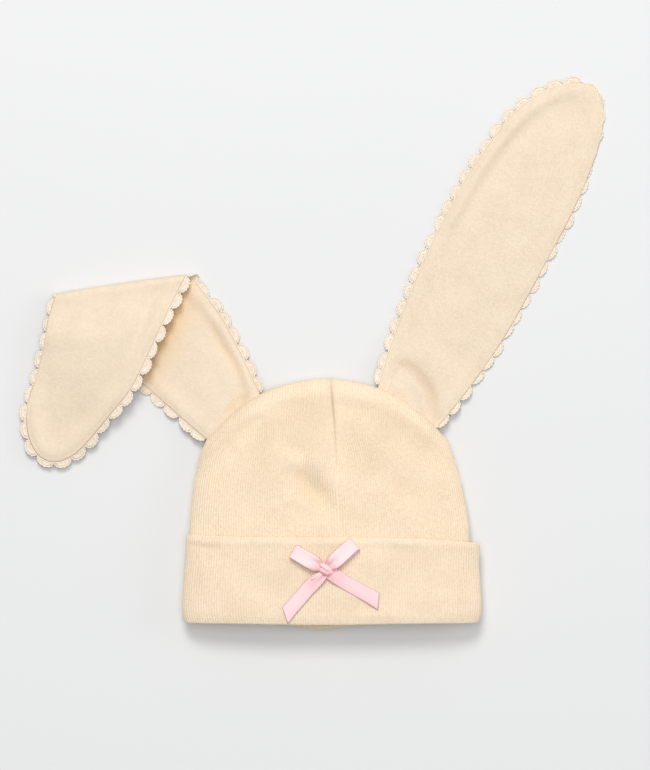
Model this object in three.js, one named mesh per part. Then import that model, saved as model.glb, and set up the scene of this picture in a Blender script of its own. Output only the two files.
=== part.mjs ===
// Newborn's knitted hat with two long ears, lying flat on its back.
//
// The crown is a ribbed tube closed by a domed seam, and its mouth is turned up as a deep cuff.
// Two long soft ears are caught in the domed seam, each edged with a narrow scalloped lace: the
// right ear lies straight and the left one is folded over on itself. A small satin bow is sewn
// to the front of the cuff.
//
// Units are millimetres. The hat is laid out on the XY plane with its mouth towards -Y, its ears
// towards +Y and its front facing +Z. Shapes are worked out about the middle of the mouth edge,
// and the finished group is moved so that its origin is the bottom centre of its own box.
import * as THREE from 'three';

// ---------- driving dimensions ----------
const CUFF_HALF_WIDTH = 78;
const CUFF_DEPTH = 45;
const CUFF_HEIGHT = 21;
const CUFF_WALL = 2.2;

const CROWN_WALL = 1.8;
const CROWN_SIDE_HEIGHT = 95;
const DOME_HALF_WIDTH = 62.4;
const DOME_RISE = 32.4;
const DOME_POWER = 2.3;
const CROWN_RIM = 2.6;
const CROWN_EDGE_POWER = 12;
const BACK_FLATNESS = 1.15;

const EAR_LENGTH = 193;
const EAR_HALF_WIDTH = 28.9;
const EAR_BASE_HALF_WIDTH = 18.7;
const EAR_MIDDLE_THICKNESS = 2.6;
const EAR_EDGE_THICKNESS = 1.3;

const LACE_SCALLOPS = 43;
const LACE_NOTCH_WIDTH = 1.7;
const LACE_TIP_WIDTH = 3.7;
const LACE_THICKNESS = 1.1;

const RIBBON_WIDTH = 7.5;
const RIBBON_THICKNESS = 0.6;

const GAP = 0.35;

// ---------- materials ----------
const ribKnit = { color: 0xf3dfc2, roughness: 0.92, metalness: 0 };
const jersey = { color: 0xf5e2c8, roughness: 0.92, metalness: 0 };
const laceCotton = { color: 0xf7e8d3, roughness: 0.9, metalness: 0 };
const pinkSatin = { color: 0xf9c4cc, roughness: 0.38, metalness: 0 };

// ---------- reading the section tables ----------
const clamp = THREE.MathUtils.clamp;
const smoothstep = THREE.MathUtils.smoothstep;
const degrees = THREE.MathUtils.degToRad;

// A smooth curve through one column of a table, with no overshoot between its rows.
function readTable(table, key, position, column) {
  const last = table.length - 1;
  const at = clamp(position, table[0][key], table[last][key]);
  let row = 0;
  while (row < last - 1 && at > table[row + 1][key]) {
    row += 1;
  }
  const rise = (k) => (table[k + 1][column] - table[k][column]) / (table[k + 1][key] - table[k][key]);
  const slope = (k) => {
    if (k === 0) {
      return rise(0);
    }
    if (k === last) {
      return rise(last - 1);
    }
    const before = rise(k - 1);
    const after = rise(k);
    return before * after <= 0 ? 0 : (2 * before * after) / (before + after);
  };
  const span = table[row + 1][key] - table[row][key];
  const t = (at - table[row][key]) / span;
  const start = table[row][column];
  const end = table[row + 1][column];
  const ease = t * t * (3 - 2 * t);
  return start + (end - start) * ease
    + span * (slope(row) * t * (1 - t) * (1 - t) - slope(row + 1) * t * t * (1 - t));
}

// ---------- closed solids ----------
// Collects four-cornered faces, welds equal corners, drops flattened faces and turns the
// whole skin outwards.
class Skin {
  constructor() {
    this.points = [];
    this.faces = [];
    this.known = new Map();
  }

  corner(point) {
    const key = point.map((value) => Math.round(value * 1e4)).join(',');
    if (!this.known.has(key)) {
      this.known.set(key, this.points.length);
      this.points.push(point);
    }
    return this.known.get(key);
  }

  triangle(a, b, c) {
    const ids = [this.corner(a), this.corner(b), this.corner(c)];
    if (new Set(ids).size === 3) {
      this.faces.push(ids);
    }
  }

  quad(a, b, c, d) {
    this.triangle(a, b, c);
    this.triangle(a, c, d);
  }

  // Joins two rings of equal length, corner to corner, all the way round.
  band(ring, next) {
    ring.forEach((point, k) => {
      const after = (k + 1) % ring.length;
      this.quad(point, ring[after], next[after], next[k]);
    });
  }

  volume() {
    const corner = (id) => new THREE.Vector3(...this.points[id]);
    const parts = this.faces.map(([a, b, c]) => corner(a).dot(corner(b).cross(corner(c))));
    return parts.reduce((sum, part) => sum + part, 0) / 6;
  }

  geometry() {
    const turned = this.volume() < 0;
    const index = this.faces.flatMap(([a, b, c]) => (turned ? [a, c, b] : [a, b, c]));
    const geometry = new THREE.BufferGeometry();
    geometry.setAttribute('position', new THREE.Float32BufferAttribute(this.points.flat(), 3));
    geometry.setIndex(index);
    geometry.computeVertexNormals();
    return geometry;
  }
}

// A closed hoop: the last ring joins the first again.
function hoop(rings) {
  const skin = new Skin();
  rings.forEach((ring, k) => skin.band(ring, rings[(k + 1) % rings.length]));
  return skin.geometry();
}

// A bar with flat ends, from four-cornered or three-cornered sections.
function bar(sections) {
  const skin = new Skin();
  for (let k = 0; k + 1 < sections.length; k += 1) {
    skin.band(sections[k], sections[k + 1]);
  }
  const first = sections[0];
  const final = sections[sections.length - 1];
  for (let k = 1; k + 1 < first.length; k += 1) {
    skin.triangle(first[0], first[k + 1], first[k]);
    skin.triangle(final[0], final[k], final[k + 1]);
  }
  return skin.geometry();
}

// ---------- the flattened tube that crown and cuff share ----------
const TUBE_POWER = 5;
const COLUMNS_ACROSS = 22;

// Places across the front, -1 to 1, evenly spaced along the flattened oval.
function tubeColumns() {
  const samples = 3000;
  const halfWidth = 70;
  const halfHeight = 9;
  const places = [0];
  const lengths = [0];
  let height = 1;
  for (let k = 1; k <= samples; k += 1) {
    const turn = (k / samples) * Math.PI / 2;
    const place = Math.sin(turn) ** (2 / TUBE_POWER);
    const nextHeight = Math.cos(turn);
    const step = Math.hypot(halfWidth * (place - places[k - 1]), halfHeight * (nextHeight - height));
    places.push(place);
    lengths.push(lengths[k - 1] + step);
    height = nextHeight;
  }
  const half = COLUMNS_ACROSS / 2;
  const right = [];
  for (let k = 0; k <= half; k += 1) {
    const wanted = (k / half) * lengths[samples];
    const found = Math.max(1, lengths.findIndex((length) => length >= wanted));
    const part = (wanted - lengths[found - 1]) / (lengths[found] - lengths[found - 1]);
    right.push(k === half ? 1 : places[found - 1] + part * (places[found] - places[found - 1]));
  }
  const left = right.slice(1).reverse().map((place) => -place);
  return [...left, ...right];
}

// One ring round the tube: across the front from left to right, and back behind.
const frontPlaces = tubeColumns();
const ringPlaces = [
  ...frontPlaces.map((place) => ({ place, front: true })),
  ...frontPlaces.slice(1, -1).reverse().map((place) => ({ place, front: false })),
];

const fullness = (place) => Math.sqrt(Math.max(0, 1 - Math.abs(place) ** TUBE_POWER));

// The mouth edge dips a little in front and more behind, where the back layer shows past it.
function mouthEdge(x, front) {
  const dip = front ? 0.8 : 3.4;
  const spread = front ? 40 : 20;
  return -dip * Math.exp(-(((x + 5) / spread) ** 2));
}

// ---------- crown ----------
const crownSides = [
  { height: 0, half: 72, lean: 0 },
  { height: 46, half: 72.3, lean: -1.2 },
  { height: 69, half: 69.9, lean: -2.1 },
  { height: 80, half: 67.5, lean: -2.5 },
  { height: 90, half: 64.6, lean: -2.7 },
  { height: 95, half: 62.4, lean: -2.7 },
];

const crownLift = [
  { height: 0, bottom: 2.6, middle: 10.5, top: 18.4 },
  { height: 47, bottom: 2.6, middle: 10.2, top: 18.2 },
  { height: 62, bottom: 0, middle: 8.6, top: 17.6 },
  { height: 80, bottom: 0, middle: 7.4, top: 17 },
  { height: 100, bottom: 0, middle: 6.8, top: 16.2 },
  { height: 128, bottom: 0, middle: 6.5, top: 15 },
];

// Soft valleys pressed into the front: the dart's seam and one slanting crease beside it.
const crownCreases = [
  { fromX: -0.5, fromY: 124, toX: 3, toY: 80, depth: 1.1, spread: 3 },
  { fromX: -21, fromY: 90, toX: -4, toY: 64, depth: 0.8, spread: 4 },
];

function creaseDepth(x, y) {
  return crownCreases.reduce((sum, crease) => {
    const runX = crease.toX - crease.fromX;
    const runY = crease.toY - crease.fromY;
    const along = ((x - crease.fromX) * runX + (y - crease.fromY) * runY) / (runX ** 2 + runY ** 2);
    const near = clamp(along, 0, 1);
    const away = Math.hypot(x - crease.fromX - near * runX, y - crease.fromY - near * runY);
    return sum + crease.depth * Math.exp(-((away / crease.spread) ** 2));
  }, 0);
}

const domeHeight = (place) => CROWN_SIDE_HEIGHT + DOME_RISE * (1 - Math.abs(place) ** DOME_POWER);

// A point of the crown's skin: place across, share of the way from rim to seam, and how far
// inside the outer face it lies.
function crownPoint({ place, front }, share, inset) {
  const rimX = place * (crownSides[0].half - inset);
  const rim = CROWN_RIM + mouthEdge(rimX, front);
  const y = rim + share * (domeHeight(place) - inset - rim);
  const half = readTable(crownSides, 'height', y, 'half') - inset;
  const x = readTable(crownSides, 'height', y, 'lean') + place * half;
  const bulge = fullness(place) * Math.sqrt(Math.max(0, 1 - share ** CROWN_EDGE_POWER));
  const middle = readTable(crownLift, 'height', y, 'middle');
  if (front) {
    const top = readTable(crownLift, 'height', y, 'top') - inset;
    return [x, y, middle + (top - middle) * bulge - creaseDepth(x, y) * bulge];
  }
  const bottom = readTable(crownLift, 'height', y, 'bottom') + inset;
  return [x, y, Math.max(bottom, middle - BACK_FLATNESS * (middle - bottom) * bulge)];
}

function crownGeometry() {
  const rows = 17;
  const rings = (inset) => {
    const list = [];
    for (let k = 0; k <= rows; k += 1) {
      const share = 1 - (1 - k / rows) ** 1.6;
      list.push(ringPlaces.map((spot) => crownPoint(spot, share, inset)));
    }
    return list;
  };
  const outside = rings(0);
  const inside = rings(CROWN_WALL).reverse();
  const skin = new Skin();
  for (let k = 0; k < rows; k += 1) {
    skin.band(outside[k], outside[k + 1]);
    skin.band(inside[k], inside[k + 1]);
  }
  skin.band(inside[rows], outside[0]);
  return skin.geometry();
}

// ---------- cuff ----------
const cuffSides = [
  { height: 0, half: 77.4, shift: 0 },
  { height: 8, half: 78, shift: 0 },
  { height: 22, half: 77.2, shift: 0 },
  { height: 34, half: 76.4, shift: 0.3 },
  { height: 45, half: 76.8, shift: 0.6 },
];

// The cuff's section: an upright leg outside the crown and a rounded foot under the crown's
// rim, as height from the mouth edge and depth inside the outer face.
const cuffSection = [
  { height: 1, inset: 0.6 },
  { height: 2.6, inset: 0 },
  { height: 12, inset: 0 },
  { height: 23, inset: 0 },
  { height: 34, inset: 0 },
  { height: 43.4, inset: 0 },
  { height: 44.7, inset: 0.5 },
  { height: 45, inset: 1.1 },
  { height: 44.7, inset: 1.8 },
  { height: 43.4, inset: CUFF_WALL },
  { height: 24, inset: CUFF_WALL },
  { height: CROWN_RIM - GAP, inset: CUFF_WALL },
  { height: CROWN_RIM - GAP, inset: 4.2 },
  { height: 0.7, inset: 3.8 },
  { height: 0, inset: 2.6 },
  { height: 0.2, inset: 1.4 },
];

// The cuff's top edge falls away gently towards the right.
function cuffTop(x) {
  const side = x + 25;
  return side > 0 ? CUFF_DEPTH - 3.5 * (side / 103) ** 2 : CUFF_DEPTH + 1.2 * (side / 53) ** 2;
}

function cuffPoint({ place, front }, { height, inset }) {
  const edge = mouthEdge(place * CUFF_HALF_WIDTH, front);
  const full = cuffTop(place * CUFF_HALF_WIDTH);
  const y = height < CROWN_RIM ? edge + height
    : edge + CROWN_RIM + (height - CROWN_RIM) * (full - edge - CROWN_RIM) / (CUFF_DEPTH - CROWN_RIM);
  const half = readTable(cuffSides, 'height', height, 'half') - inset;
  const x = readTable(cuffSides, 'height', height, 'shift') + place * half;
  const middle = CUFF_HEIGHT / 2;
  if (front) {
    return [x, y, middle + (middle - inset) * fullness(place)];
  }
  return [x, y, Math.max(inset, middle - BACK_FLATNESS * (middle - inset) * fullness(place))];
}

const cuffGeometry = () => hoop(cuffSection.map((step) => ringPlaces.map((spot) => cuffPoint(spot, step))));

// ---------- ears ----------
// Sway moves the middle line towards the ear's left edge, and pinch narrows or widens the ear,
// as the soft cloth has slipped where it lies.
const ears = {
  right: {
    baseX: 40,
    baseY: 112.3,
    heading: 60.5,
    drape: [
      { along: 0, sway: 0, pinch: 1 },
      { along: 52, sway: 1.5, pinch: 1 },
      { along: 80, sway: 2.9, pinch: 1 },
      { along: 120, sway: 3.8, pinch: 1 },
      { along: 160, sway: 3.9, pinch: 1 },
      { along: 178, sway: 2.6, pinch: 1 },
      { along: 193, sway: 0, pinch: 1 },
    ],
  },
  left: {
    baseX: -50.4,
    baseY: 107.1,
    heading: 131.1,
    drape: [
      { along: 0, sway: 0.7, pinch: 0.97 },
      { along: 26, sway: -1, pinch: 1 },
      { along: 45, sway: -2, pinch: 1.03 },
      { along: 65, sway: -2, pinch: 1.02 },
      { along: 92, sway: -1.2, pinch: 1 },
      { along: 118, sway: -1.8, pinch: 0.98 },
      { along: 143, sway: -4, pinch: 0.92 },
      { along: 157, sway: -3.4, pinch: 0.89 },
      { along: 170, sway: -2.4, pinch: 0.93 },
      { along: 193, sway: -4, pinch: 1 },
    ],
    fold: { x: -111.3, y: 175.6, heading: 8.2, radius: 2.6 },
  },
};

const EAR_MIDDLE_LIFT = EAR_MIDDLE_THICKNESS / 2;
const EAR_BASE_RISE = 4.6;
const EAR_RISE_LENGTH = 38;

// Half width of an ear along its length: it widens from the base and ends in a full round tip.
function earHalfWidth(along) {
  const narrow = EAR_HALF_WIDTH - EAR_BASE_HALF_WIDTH;
  if (along < 110) {
    return EAR_HALF_WIDTH - narrow * Math.max(0, 1 - along / 95) ** 2.1;
  }
  const tip = clamp((along - 110) / (EAR_LENGTH - 110), 0, 1);
  return EAR_HALF_WIDTH * Math.sqrt(Math.max(0, 1 - tip ** 2.25));
}

// Distance from the ear's straight axis at a share, -1 to 1, of the way between its edges.
function earAcross(ear, along, share) {
  const sway = readTable(ear.drape, 'along', along, 'sway');
  const pinch = readTable(ear.drape, 'along', along, 'pinch');
  return sway + share * pinch * earHalfWidth(along);
}

// The ear laid out flat: a point in the plane from distance along and across its axis.
function earFlat(ear, along, across) {
  const turn = degrees(ear.heading);
  return {
    x: ear.baseX + along * Math.cos(turn) - across * Math.sin(turn),
    y: ear.baseY + along * Math.sin(turn) + across * Math.cos(turn),
  };
}

// How far a flat point lies past the line where the cloth starts to turn over.
function pastFold(ear, along, across) {
  const { x, y, heading, radius } = ear.fold;
  const flat = earFlat(ear, along, across);
  const turn = degrees(heading);
  return (flat.y - y) * Math.cos(turn) - (flat.x - x) * Math.sin(turn) + radius;
}

// The flap stands off a little where it crosses the lower layer. Past the lower layer's left
// edge, a line through one point at a heading, it sinks towards the table: fast at its left
// edge and slowly at its right one. Its own stiffness keeps the tip clear of the table.
const lowerEdge = { x: -94.6, y: 121.7, heading: 139 };
const DROP_START = -4;
const DROP_LENGTH = 56;
const DROP_SLANT = 0.5;
const DROP_FROM_FOLD = 30;
const FLAP_LIFT = 4.2;
const FLAP_SINK = 2.6;
const LIFT_FROM_FOLD = 24;

function flapHeight(x, y, across, beyondFold) {
  const turn = degrees(lowerEdge.heading);
  const clear = (y - lowerEdge.y) * Math.cos(turn) - (x - lowerEdge.x) * Math.sin(turn);
  const end = DROP_START + DROP_LENGTH - DROP_SLANT * across;
  const drop = smoothstep(clear, DROP_START, end) * smoothstep(beyondFold, 0, DROP_FROM_FOLD);
  const lift = FLAP_LIFT * smoothstep(beyondFold, 3, LIFT_FROM_FOLD);
  return lift * (1 - drop) - FLAP_SINK * drop;
}

// The ear as it lies: a point from distance along and across, and height over the middle layer.
function earPoint(ear, along, across, over) {
  const rise = EAR_BASE_RISE * (1 - smoothstep(along, 0, EAR_RISE_LENGTH));
  const flat = earFlat(ear, along, across);
  const past = ear.fold ? pastFold(ear, along, across) : 0;
  if (past <= 0) {
    return [flat.x, flat.y, EAR_MIDDLE_LIFT + rise + over];
  }
  const { radius, heading } = ear.fold;
  const turn = degrees(heading);
  const bend = Math.min(past / radius, Math.PI);
  const beyond = Math.max(0, past - Math.PI * radius);
  const reach = (radius - over) * Math.sin(bend) - beyond;
  const height = radius - (radius - over) * Math.cos(bend);
  const x = flat.x + (past - reach) * Math.sin(turn);
  const y = flat.y - (past - reach) * Math.cos(turn);
  return [x, y, EAR_MIDDLE_LIFT + height + flapHeight(x, y, across, beyond)];
}

// Distance outside the crown's outline as seen from above.
function outsideCrown(x, y) {
  if (y < CROWN_SIDE_HEIGHT) {
    const lean = readTable(crownSides, 'height', y, 'lean');
    return Math.abs(x - lean) - readTable(crownSides, 'height', y, 'half');
  }
  const place = Math.abs(x - crownSides[crownSides.length - 1].lean) / DOME_HALF_WIDTH;
  const level = place ** DOME_POWER + (y - CROWN_SIDE_HEIGHT) / DOME_RISE - 1;
  const slope = (DOME_POWER * place ** (DOME_POWER - 1)) / DOME_HALF_WIDTH;
  return level / Math.hypot(slope, 1 / DOME_RISE);
}

// The distance along at which a rising measure first reaches a wanted value.
function findAlong(measure, wanted, { from, to }) {
  let low = from;
  let high = to;
  for (let k = 0; k < 40; k += 1) {
    const middle = (low + high) / 2;
    if (measure(middle) < wanted) {
      low = middle;
    } else {
      high = middle;
    }
  }
  return (low + high) / 2;
}

// Where the ear's cloth starts, beside the crown's seam: a search along the ear's base.
const BASE_SEARCH = { from: -14, to: 40 };
const FOLD_SEARCH = { from: 50, to: 160 };

function earStart(ear, share) {
  const outside = (along) => {
    const flat = earFlat(ear, along, earAcross(ear, along, share));
    return outsideCrown(flat.x, flat.y);
  };
  return findAlong(outside, GAP, BASE_SEARCH);
}

// Rows of the ear at one share of its width, closer together at the tip and round a fold.
function earRows(ear, share) {
  const start = earStart(ear, share);
  const steps = (from, to, count, power) => {
    const list = [];
    for (let k = 1; k <= count; k += 1) {
      list.push(from + (to - from) * (1 - (1 - k / count) ** power));
    }
    return list;
  };
  if (!ear.fold) {
    return [start, ...steps(start, EAR_LENGTH, 22, 1.35)];
  }
  const past = (along) => pastFold(ear, along, earAcross(ear, along, share));
  const foldStart = findAlong(past, 0, FOLD_SEARCH);
  const foldEnd = findAlong(past, Math.PI * ear.fold.radius, FOLD_SEARCH);
  return [
    start,
    ...steps(start, foldStart, 8, 1),
    ...steps(foldStart, foldEnd, 6, 1),
    ...steps(foldEnd, EAR_LENGTH, 12, 1.5),
  ];
}

// The ear is fullest along its middle and thins to its sewn edge and its tip.
function earThickness(along, share) {
  const taper = earHalfWidth(Math.max(along, 95)) / EAR_HALF_WIDTH;
  return EAR_EDGE_THICKNESS + (EAR_MIDDLE_THICKNESS - EAR_EDGE_THICKNESS) * (1 - share ** 4) * taper;
}

function earGeometry(ear) {
  const columns = 10;
  const layer = (sign) => {
    const grid = [];
    for (let c = 0; c <= columns; c += 1) {
      const share = (2 * c) / columns - 1;
      grid.push(earRows(ear, share).map((along) => {
        const over = (sign * earThickness(along, share)) / 2;
        return earPoint(ear, along, earAcross(ear, along, share), over);
      }));
    }
    return grid;
  };
  const upper = layer(1);
  const lower = layer(-1);
  const skin = new Skin();
  const rows = upper[0].length - 1;
  for (let c = 0; c < columns; c += 1) {
    for (let k = 0; k < rows; k += 1) {
      skin.quad(upper[c][k], upper[c][k + 1], upper[c + 1][k + 1], upper[c + 1][k]);
      skin.quad(lower[c][k], lower[c + 1][k], lower[c + 1][k + 1], lower[c][k + 1]);
    }
    skin.quad(upper[c][0], upper[c + 1][0], lower[c + 1][0], lower[c][0]);
    skin.quad(lower[c][rows], lower[c + 1][rows], upper[c + 1][rows], upper[c][rows]);
  }
  for (let k = 0; k < rows; k += 1) {
    skin.quad(upper[0][k], lower[0][k], lower[0][k + 1], upper[0][k + 1]);
    skin.quad(upper[columns][k + 1], lower[columns][k + 1], lower[columns][k], upper[columns][k]);
  }
  return skin.geometry();
}

// ---------- lace edging ----------
// The ear's outline laid out flat, from the base up the left edge, round the tip and down the
// right edge, as distance along and across the axis.
function earOutline(ear) {
  const count = 240;
  const edge = (share) => {
    const start = earStart(ear, share) + 0.5;
    const list = [];
    for (let k = 0; k <= count; k += 1) {
      const along = start + (EAR_LENGTH - start) * Math.sin((k / count) * Math.PI / 2);
      list.push({ along, across: earAcross(ear, along, share) });
    }
    return list;
  };
  return [...edge(1), ...edge(-1).reverse().slice(1)];
}

function laceGeometry(ear) {
  const outline = earOutline(ear);
  const lengths = [0];
  for (let k = 1; k < outline.length; k += 1) {
    const before = outline[k - 1];
    const run = Math.hypot(outline[k].along - before.along, outline[k].across - before.across);
    lengths.push(lengths[k - 1] + run);
  }
  const total = lengths[lengths.length - 1];
  const perScallop = 4;
  const count = LACE_SCALLOPS * perScallop;
  const spot = (wanted) => {
    const at = clamp(wanted, 0, total);
    const k = Math.max(1, lengths.findIndex((length) => length >= at - 1e-9));
    const part = (at - lengths[k - 1]) / (lengths[k] - lengths[k - 1]);
    const mix = (name) => outline[k - 1][name] + part * (outline[k][name] - outline[k - 1][name]);
    return { along: mix('along'), across: mix('across') };
  };
  const sections = [];
  for (let k = 0; k <= count; k += 1) {
    const at = (k / count) * total;
    const middle = spot(at);
    const before = spot(at - 1.5);
    const after = spot(at + 1.5);
    const run = Math.hypot(after.along - before.along, after.across - before.across);
    const outAlong = -(after.across - before.across) / run;
    const outAcross = (after.along - before.along) / run;
    const bow = Math.abs(Math.sin((k / perScallop) * Math.PI)) ** 0.7;
    const width = LACE_NOTCH_WIDTH + (LACE_TIP_WIDTH - LACE_NOTCH_WIDTH) * bow;
    const place = (out, over) => earPoint(
      ear,
      middle.along + out * outAlong,
      middle.across + out * outAcross,
      over,
    );
    sections.push([
      place(GAP, LACE_THICKNESS / 2),
      place(GAP, -LACE_THICKNESS / 2),
      place(width, 0),
    ]);
  }
  return bar(sections);
}

// ---------- bow ----------
const BOW_X = -3.6;
const BOW_Y = 28.1;
const BOW_FLOOR = CUFF_HEIGHT + GAP;

// A flat ribbon through named places: x and y from the knot, lift above the cuff's face,
// heading of the line across it, and the width along that line.
function ribbonGeometry(route) {
  const knot = new THREE.Vector3(BOW_X, BOW_Y, BOW_FLOOR);
  const centres = route.map((stop) => new THREE.Vector3(stop.x, stop.y, stop.lift).add(knot));
  const sections = route.map((stop, k) => {
    const before = centres[Math.max(0, k - 1)];
    const after = centres[Math.min(route.length - 1, k + 1)];
    const run = after.clone().sub(before).normalize();
    const turn = degrees(stop.across);
    const across = new THREE.Vector3(Math.cos(turn), Math.sin(turn), 0);
    const normal = run.clone().cross(across).normalize();
    const corner = (side, over) => centres[k].clone()
      .addScaledVector(across, (side * stop.width) / 2)
      .addScaledVector(normal, (over * RIBBON_THICKNESS) / 2)
      .toArray();
    return [corner(1, 1), corner(-1, 1), corner(-1, -1), corner(1, -1)];
  });
  return bar(sections);
}

// A loop leaves the knot along the cuff, turns over at its end and comes back on top.
function loopRoute({ heading, reach }) {
  const half = degrees(heading);
  const stop = (out, lift, width) => ({
    x: out * Math.cos(half),
    y: out * Math.sin(half),
    lift,
    across: heading + 90,
    width,
  });
  const roll = 1.3;
  const route = [stop(2.9, 0.9, 4), stop(6, 0.6, 5.6), stop(11, 0.4, RIBBON_WIDTH)];
  for (let k = 0; k <= 6; k += 1) {
    const turn = (k / 6) * Math.PI - Math.PI / 2;
    route.push(stop(reach - roll + roll * Math.cos(turn), 0.4 + roll + roll * Math.sin(turn), RIBBON_WIDTH));
  }
  return [...route, stop(10, 3.4, RIBBON_WIDTH), stop(6, 3.3, 5.8), stop(2.9, 2.6, 4.2)];
}

const bowTails = {
  left: [
    { x: -1.6, y: -3, lift: 0.9, across: -20, width: 3.8 },
    { x: -4.6, y: -6, lift: 0.7, across: -40, width: 6 },
    { x: -8.4, y: -9.6, lift: 0.45, across: -46, width: RIBBON_WIDTH },
    { x: -12.8, y: -14.6, lift: 0.4, across: -47, width: RIBBON_WIDTH },
    { x: -17, y: -19.4, lift: 0.4, across: -50, width: RIBBON_WIDTH },
    { x: -20.8, y: -23.9, lift: 0.4, across: -72, width: 8.8 },
  ],
  right: [
    { x: 2.6, y: -2, lift: 0.9, across: 50, width: 3.8 },
    { x: 6, y: -4, lift: 0.7, across: 56, width: 5.6 },
    { x: 11, y: -7, lift: 0.5, across: 60, width: 7 },
    { x: 17, y: -10.4, lift: 0.4, across: 63, width: RIBBON_WIDTH },
    { x: 22.4, y: -13.4, lift: 0.4, across: 66, width: RIBBON_WIDTH },
    { x: 27.8, y: -16.5, lift: 0.4, across: 86, width: 9 },
  ],
};

// The knot is the ribbon's own band, drawn tight round the middle: a small soft cushion.
function knotGeometry() {
  const rings = 7;
  const sides = 10;
  const halfWidth = 2.3;
  const halfDepth = 2.1;
  const halfHeight = 1.9;
  const sections = [];
  for (let k = 0; k <= rings; k += 1) {
    const slope = (k / rings) * Math.PI - Math.PI / 2;
    const size = Math.max(0.25, Math.cos(slope) ** 0.6);
    const ring = [];
    for (let s = 0; s < sides; s += 1) {
      const turn = (s / sides) * 2 * Math.PI;
      ring.push([
        BOW_X + halfWidth * Math.sin(slope),
        BOW_Y + halfDepth * size * Math.cos(turn),
        BOW_FLOOR + halfHeight + halfHeight * size * Math.sin(turn),
      ]);
    }
    sections.push(ring);
  }
  return bar(sections);
}

// ---------- the hat ----------
const hat = new THREE.Group();

function addPiece(name, geometry, finish) {
  const piece = new THREE.Mesh(geometry, new THREE.MeshStandardMaterial(finish));
  piece.name = name;
  hat.add(piece);
}

addPiece('crown', crownGeometry(), ribKnit);
addPiece('cuff', cuffGeometry(), ribKnit);
for (const side of ['left', 'right']) {
  addPiece(`ear_${side}`, earGeometry(ears[side]), jersey);
  addPiece(`lace_${side}`, laceGeometry(ears[side]), laceCotton);
}
addPiece('bow_knot', knotGeometry(), pinkSatin);
addPiece('bow_loop_left', ribbonGeometry(loopRoute({ heading: 150, reach: 19.4 })), pinkSatin);
addPiece('bow_loop_right', ribbonGeometry(loopRoute({ heading: 42, reach: 20.6 })), pinkSatin);
addPiece('bow_tail_left', ribbonGeometry(bowTails.left), pinkSatin);
addPiece('bow_tail_right', ribbonGeometry(bowTails.right), pinkSatin);

const box = new THREE.Box3().setFromObject(hat);
const centre = box.getCenter(new THREE.Vector3());
hat.position.set(-centre.x, -centre.y, -box.min.z);

export default hat;
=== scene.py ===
import bmesh
import bpy
import numpy as np
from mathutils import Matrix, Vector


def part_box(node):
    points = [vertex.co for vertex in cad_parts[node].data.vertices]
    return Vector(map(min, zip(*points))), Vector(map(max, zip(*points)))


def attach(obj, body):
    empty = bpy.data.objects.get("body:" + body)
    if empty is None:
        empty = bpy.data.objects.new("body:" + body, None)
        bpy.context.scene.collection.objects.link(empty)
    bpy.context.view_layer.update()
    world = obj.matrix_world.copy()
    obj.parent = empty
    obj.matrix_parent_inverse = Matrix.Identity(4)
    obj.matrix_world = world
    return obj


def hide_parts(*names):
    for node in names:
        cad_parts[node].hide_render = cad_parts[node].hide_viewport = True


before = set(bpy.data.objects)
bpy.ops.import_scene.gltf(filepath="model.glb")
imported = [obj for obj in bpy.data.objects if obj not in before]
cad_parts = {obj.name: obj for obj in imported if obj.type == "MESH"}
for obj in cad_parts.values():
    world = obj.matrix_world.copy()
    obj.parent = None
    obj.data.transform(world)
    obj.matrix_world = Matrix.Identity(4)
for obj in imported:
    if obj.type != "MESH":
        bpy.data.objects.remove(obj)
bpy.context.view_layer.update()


# ---------------------------------------------------------------------------------------------
# The crown is a tube of fine rib knit, closed by a domed seam that the ears are caught in, with
# a short dart sewn down the front. It lies flat on its back, still open inside. All shapes are
# worked out in millimetres about the middle of the mouth edge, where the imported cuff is.
MOUTH_DIP_FRONT = 0.8
MOUTH_DIP_BEHIND = 3.4
DIP_SPREAD_FRONT = 40.0
DIP_SPREAD_BEHIND = 20.0
DIP_X = -5.0
cuff_low, cuff_high = (1000 * np.array(corner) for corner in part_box("cuff"))
MOUTH_MIDDLE = np.array([(cuff_low[0] + cuff_high[0]) / 2, cuff_low[1] + MOUTH_DIP_BEHIND, 0.0])

CROWN_RIBS = 224
COLUMNS_PER_RIB = 4
RIB_DEPTH = 0.19
CROWN_ROWS = 76
LINING_ROWS = 24
CROWN_WALL = 1.8
CROWN_RIM = 2.6
MOUTH_HALF = 72.0
SIDE_HEIGHT = 95.0
DOME_RISE = 32.4
DOME_HALF_WIDTH = 62.4
DOME_LEAN = -2.7
DOME_POWER = 2.3
TUBE_POWER = 5.0
TUBE_HALF_WIDE, TUBE_HALF_HIGH = 70, 9
EDGE_POWER = 12
BACK_FULLNESS = 1.15
COURSE_HEIGHT = 0.95

# Profiles up the crown: rows of (height from the mouth edge, value there).
CROWN_HALF_WIDTH = [(0, 72), (46, 72.3), (69, 69.9), (80, 67.5), (90, 64.6), (95, 62.4)]
CROWN_LEAN = [(0, 0), (46, -1.2), (69, -2.1), (80, -2.5), (90, -2.7), (95, -2.7)]
CROWN_BOTTOM = [(0, 2.6), (47, 2.6), (62, 0), (80, 0), (128, 0)]
CROWN_MIDDLE = [(0, 10.5), (47, 10.2), (62, 8.6), (80, 7.4), (100, 6.8), (128, 6.5)]
CROWN_TOP = [(0, 18.4), (47, 18.2), (62, 17.6), (80, 17), (100, 16.2), (128, 15)]
# The cuff hides the crown up to the first height, and its dents are full from the second.
CUFF_HIDES_TO = (42.0, 52.0)

DART_TOP = (-0.5, 124.0)
DART_FOOT = (3.0, 80.0)
DART_PULL = 7.0
DART_REACH = 22.0

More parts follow.
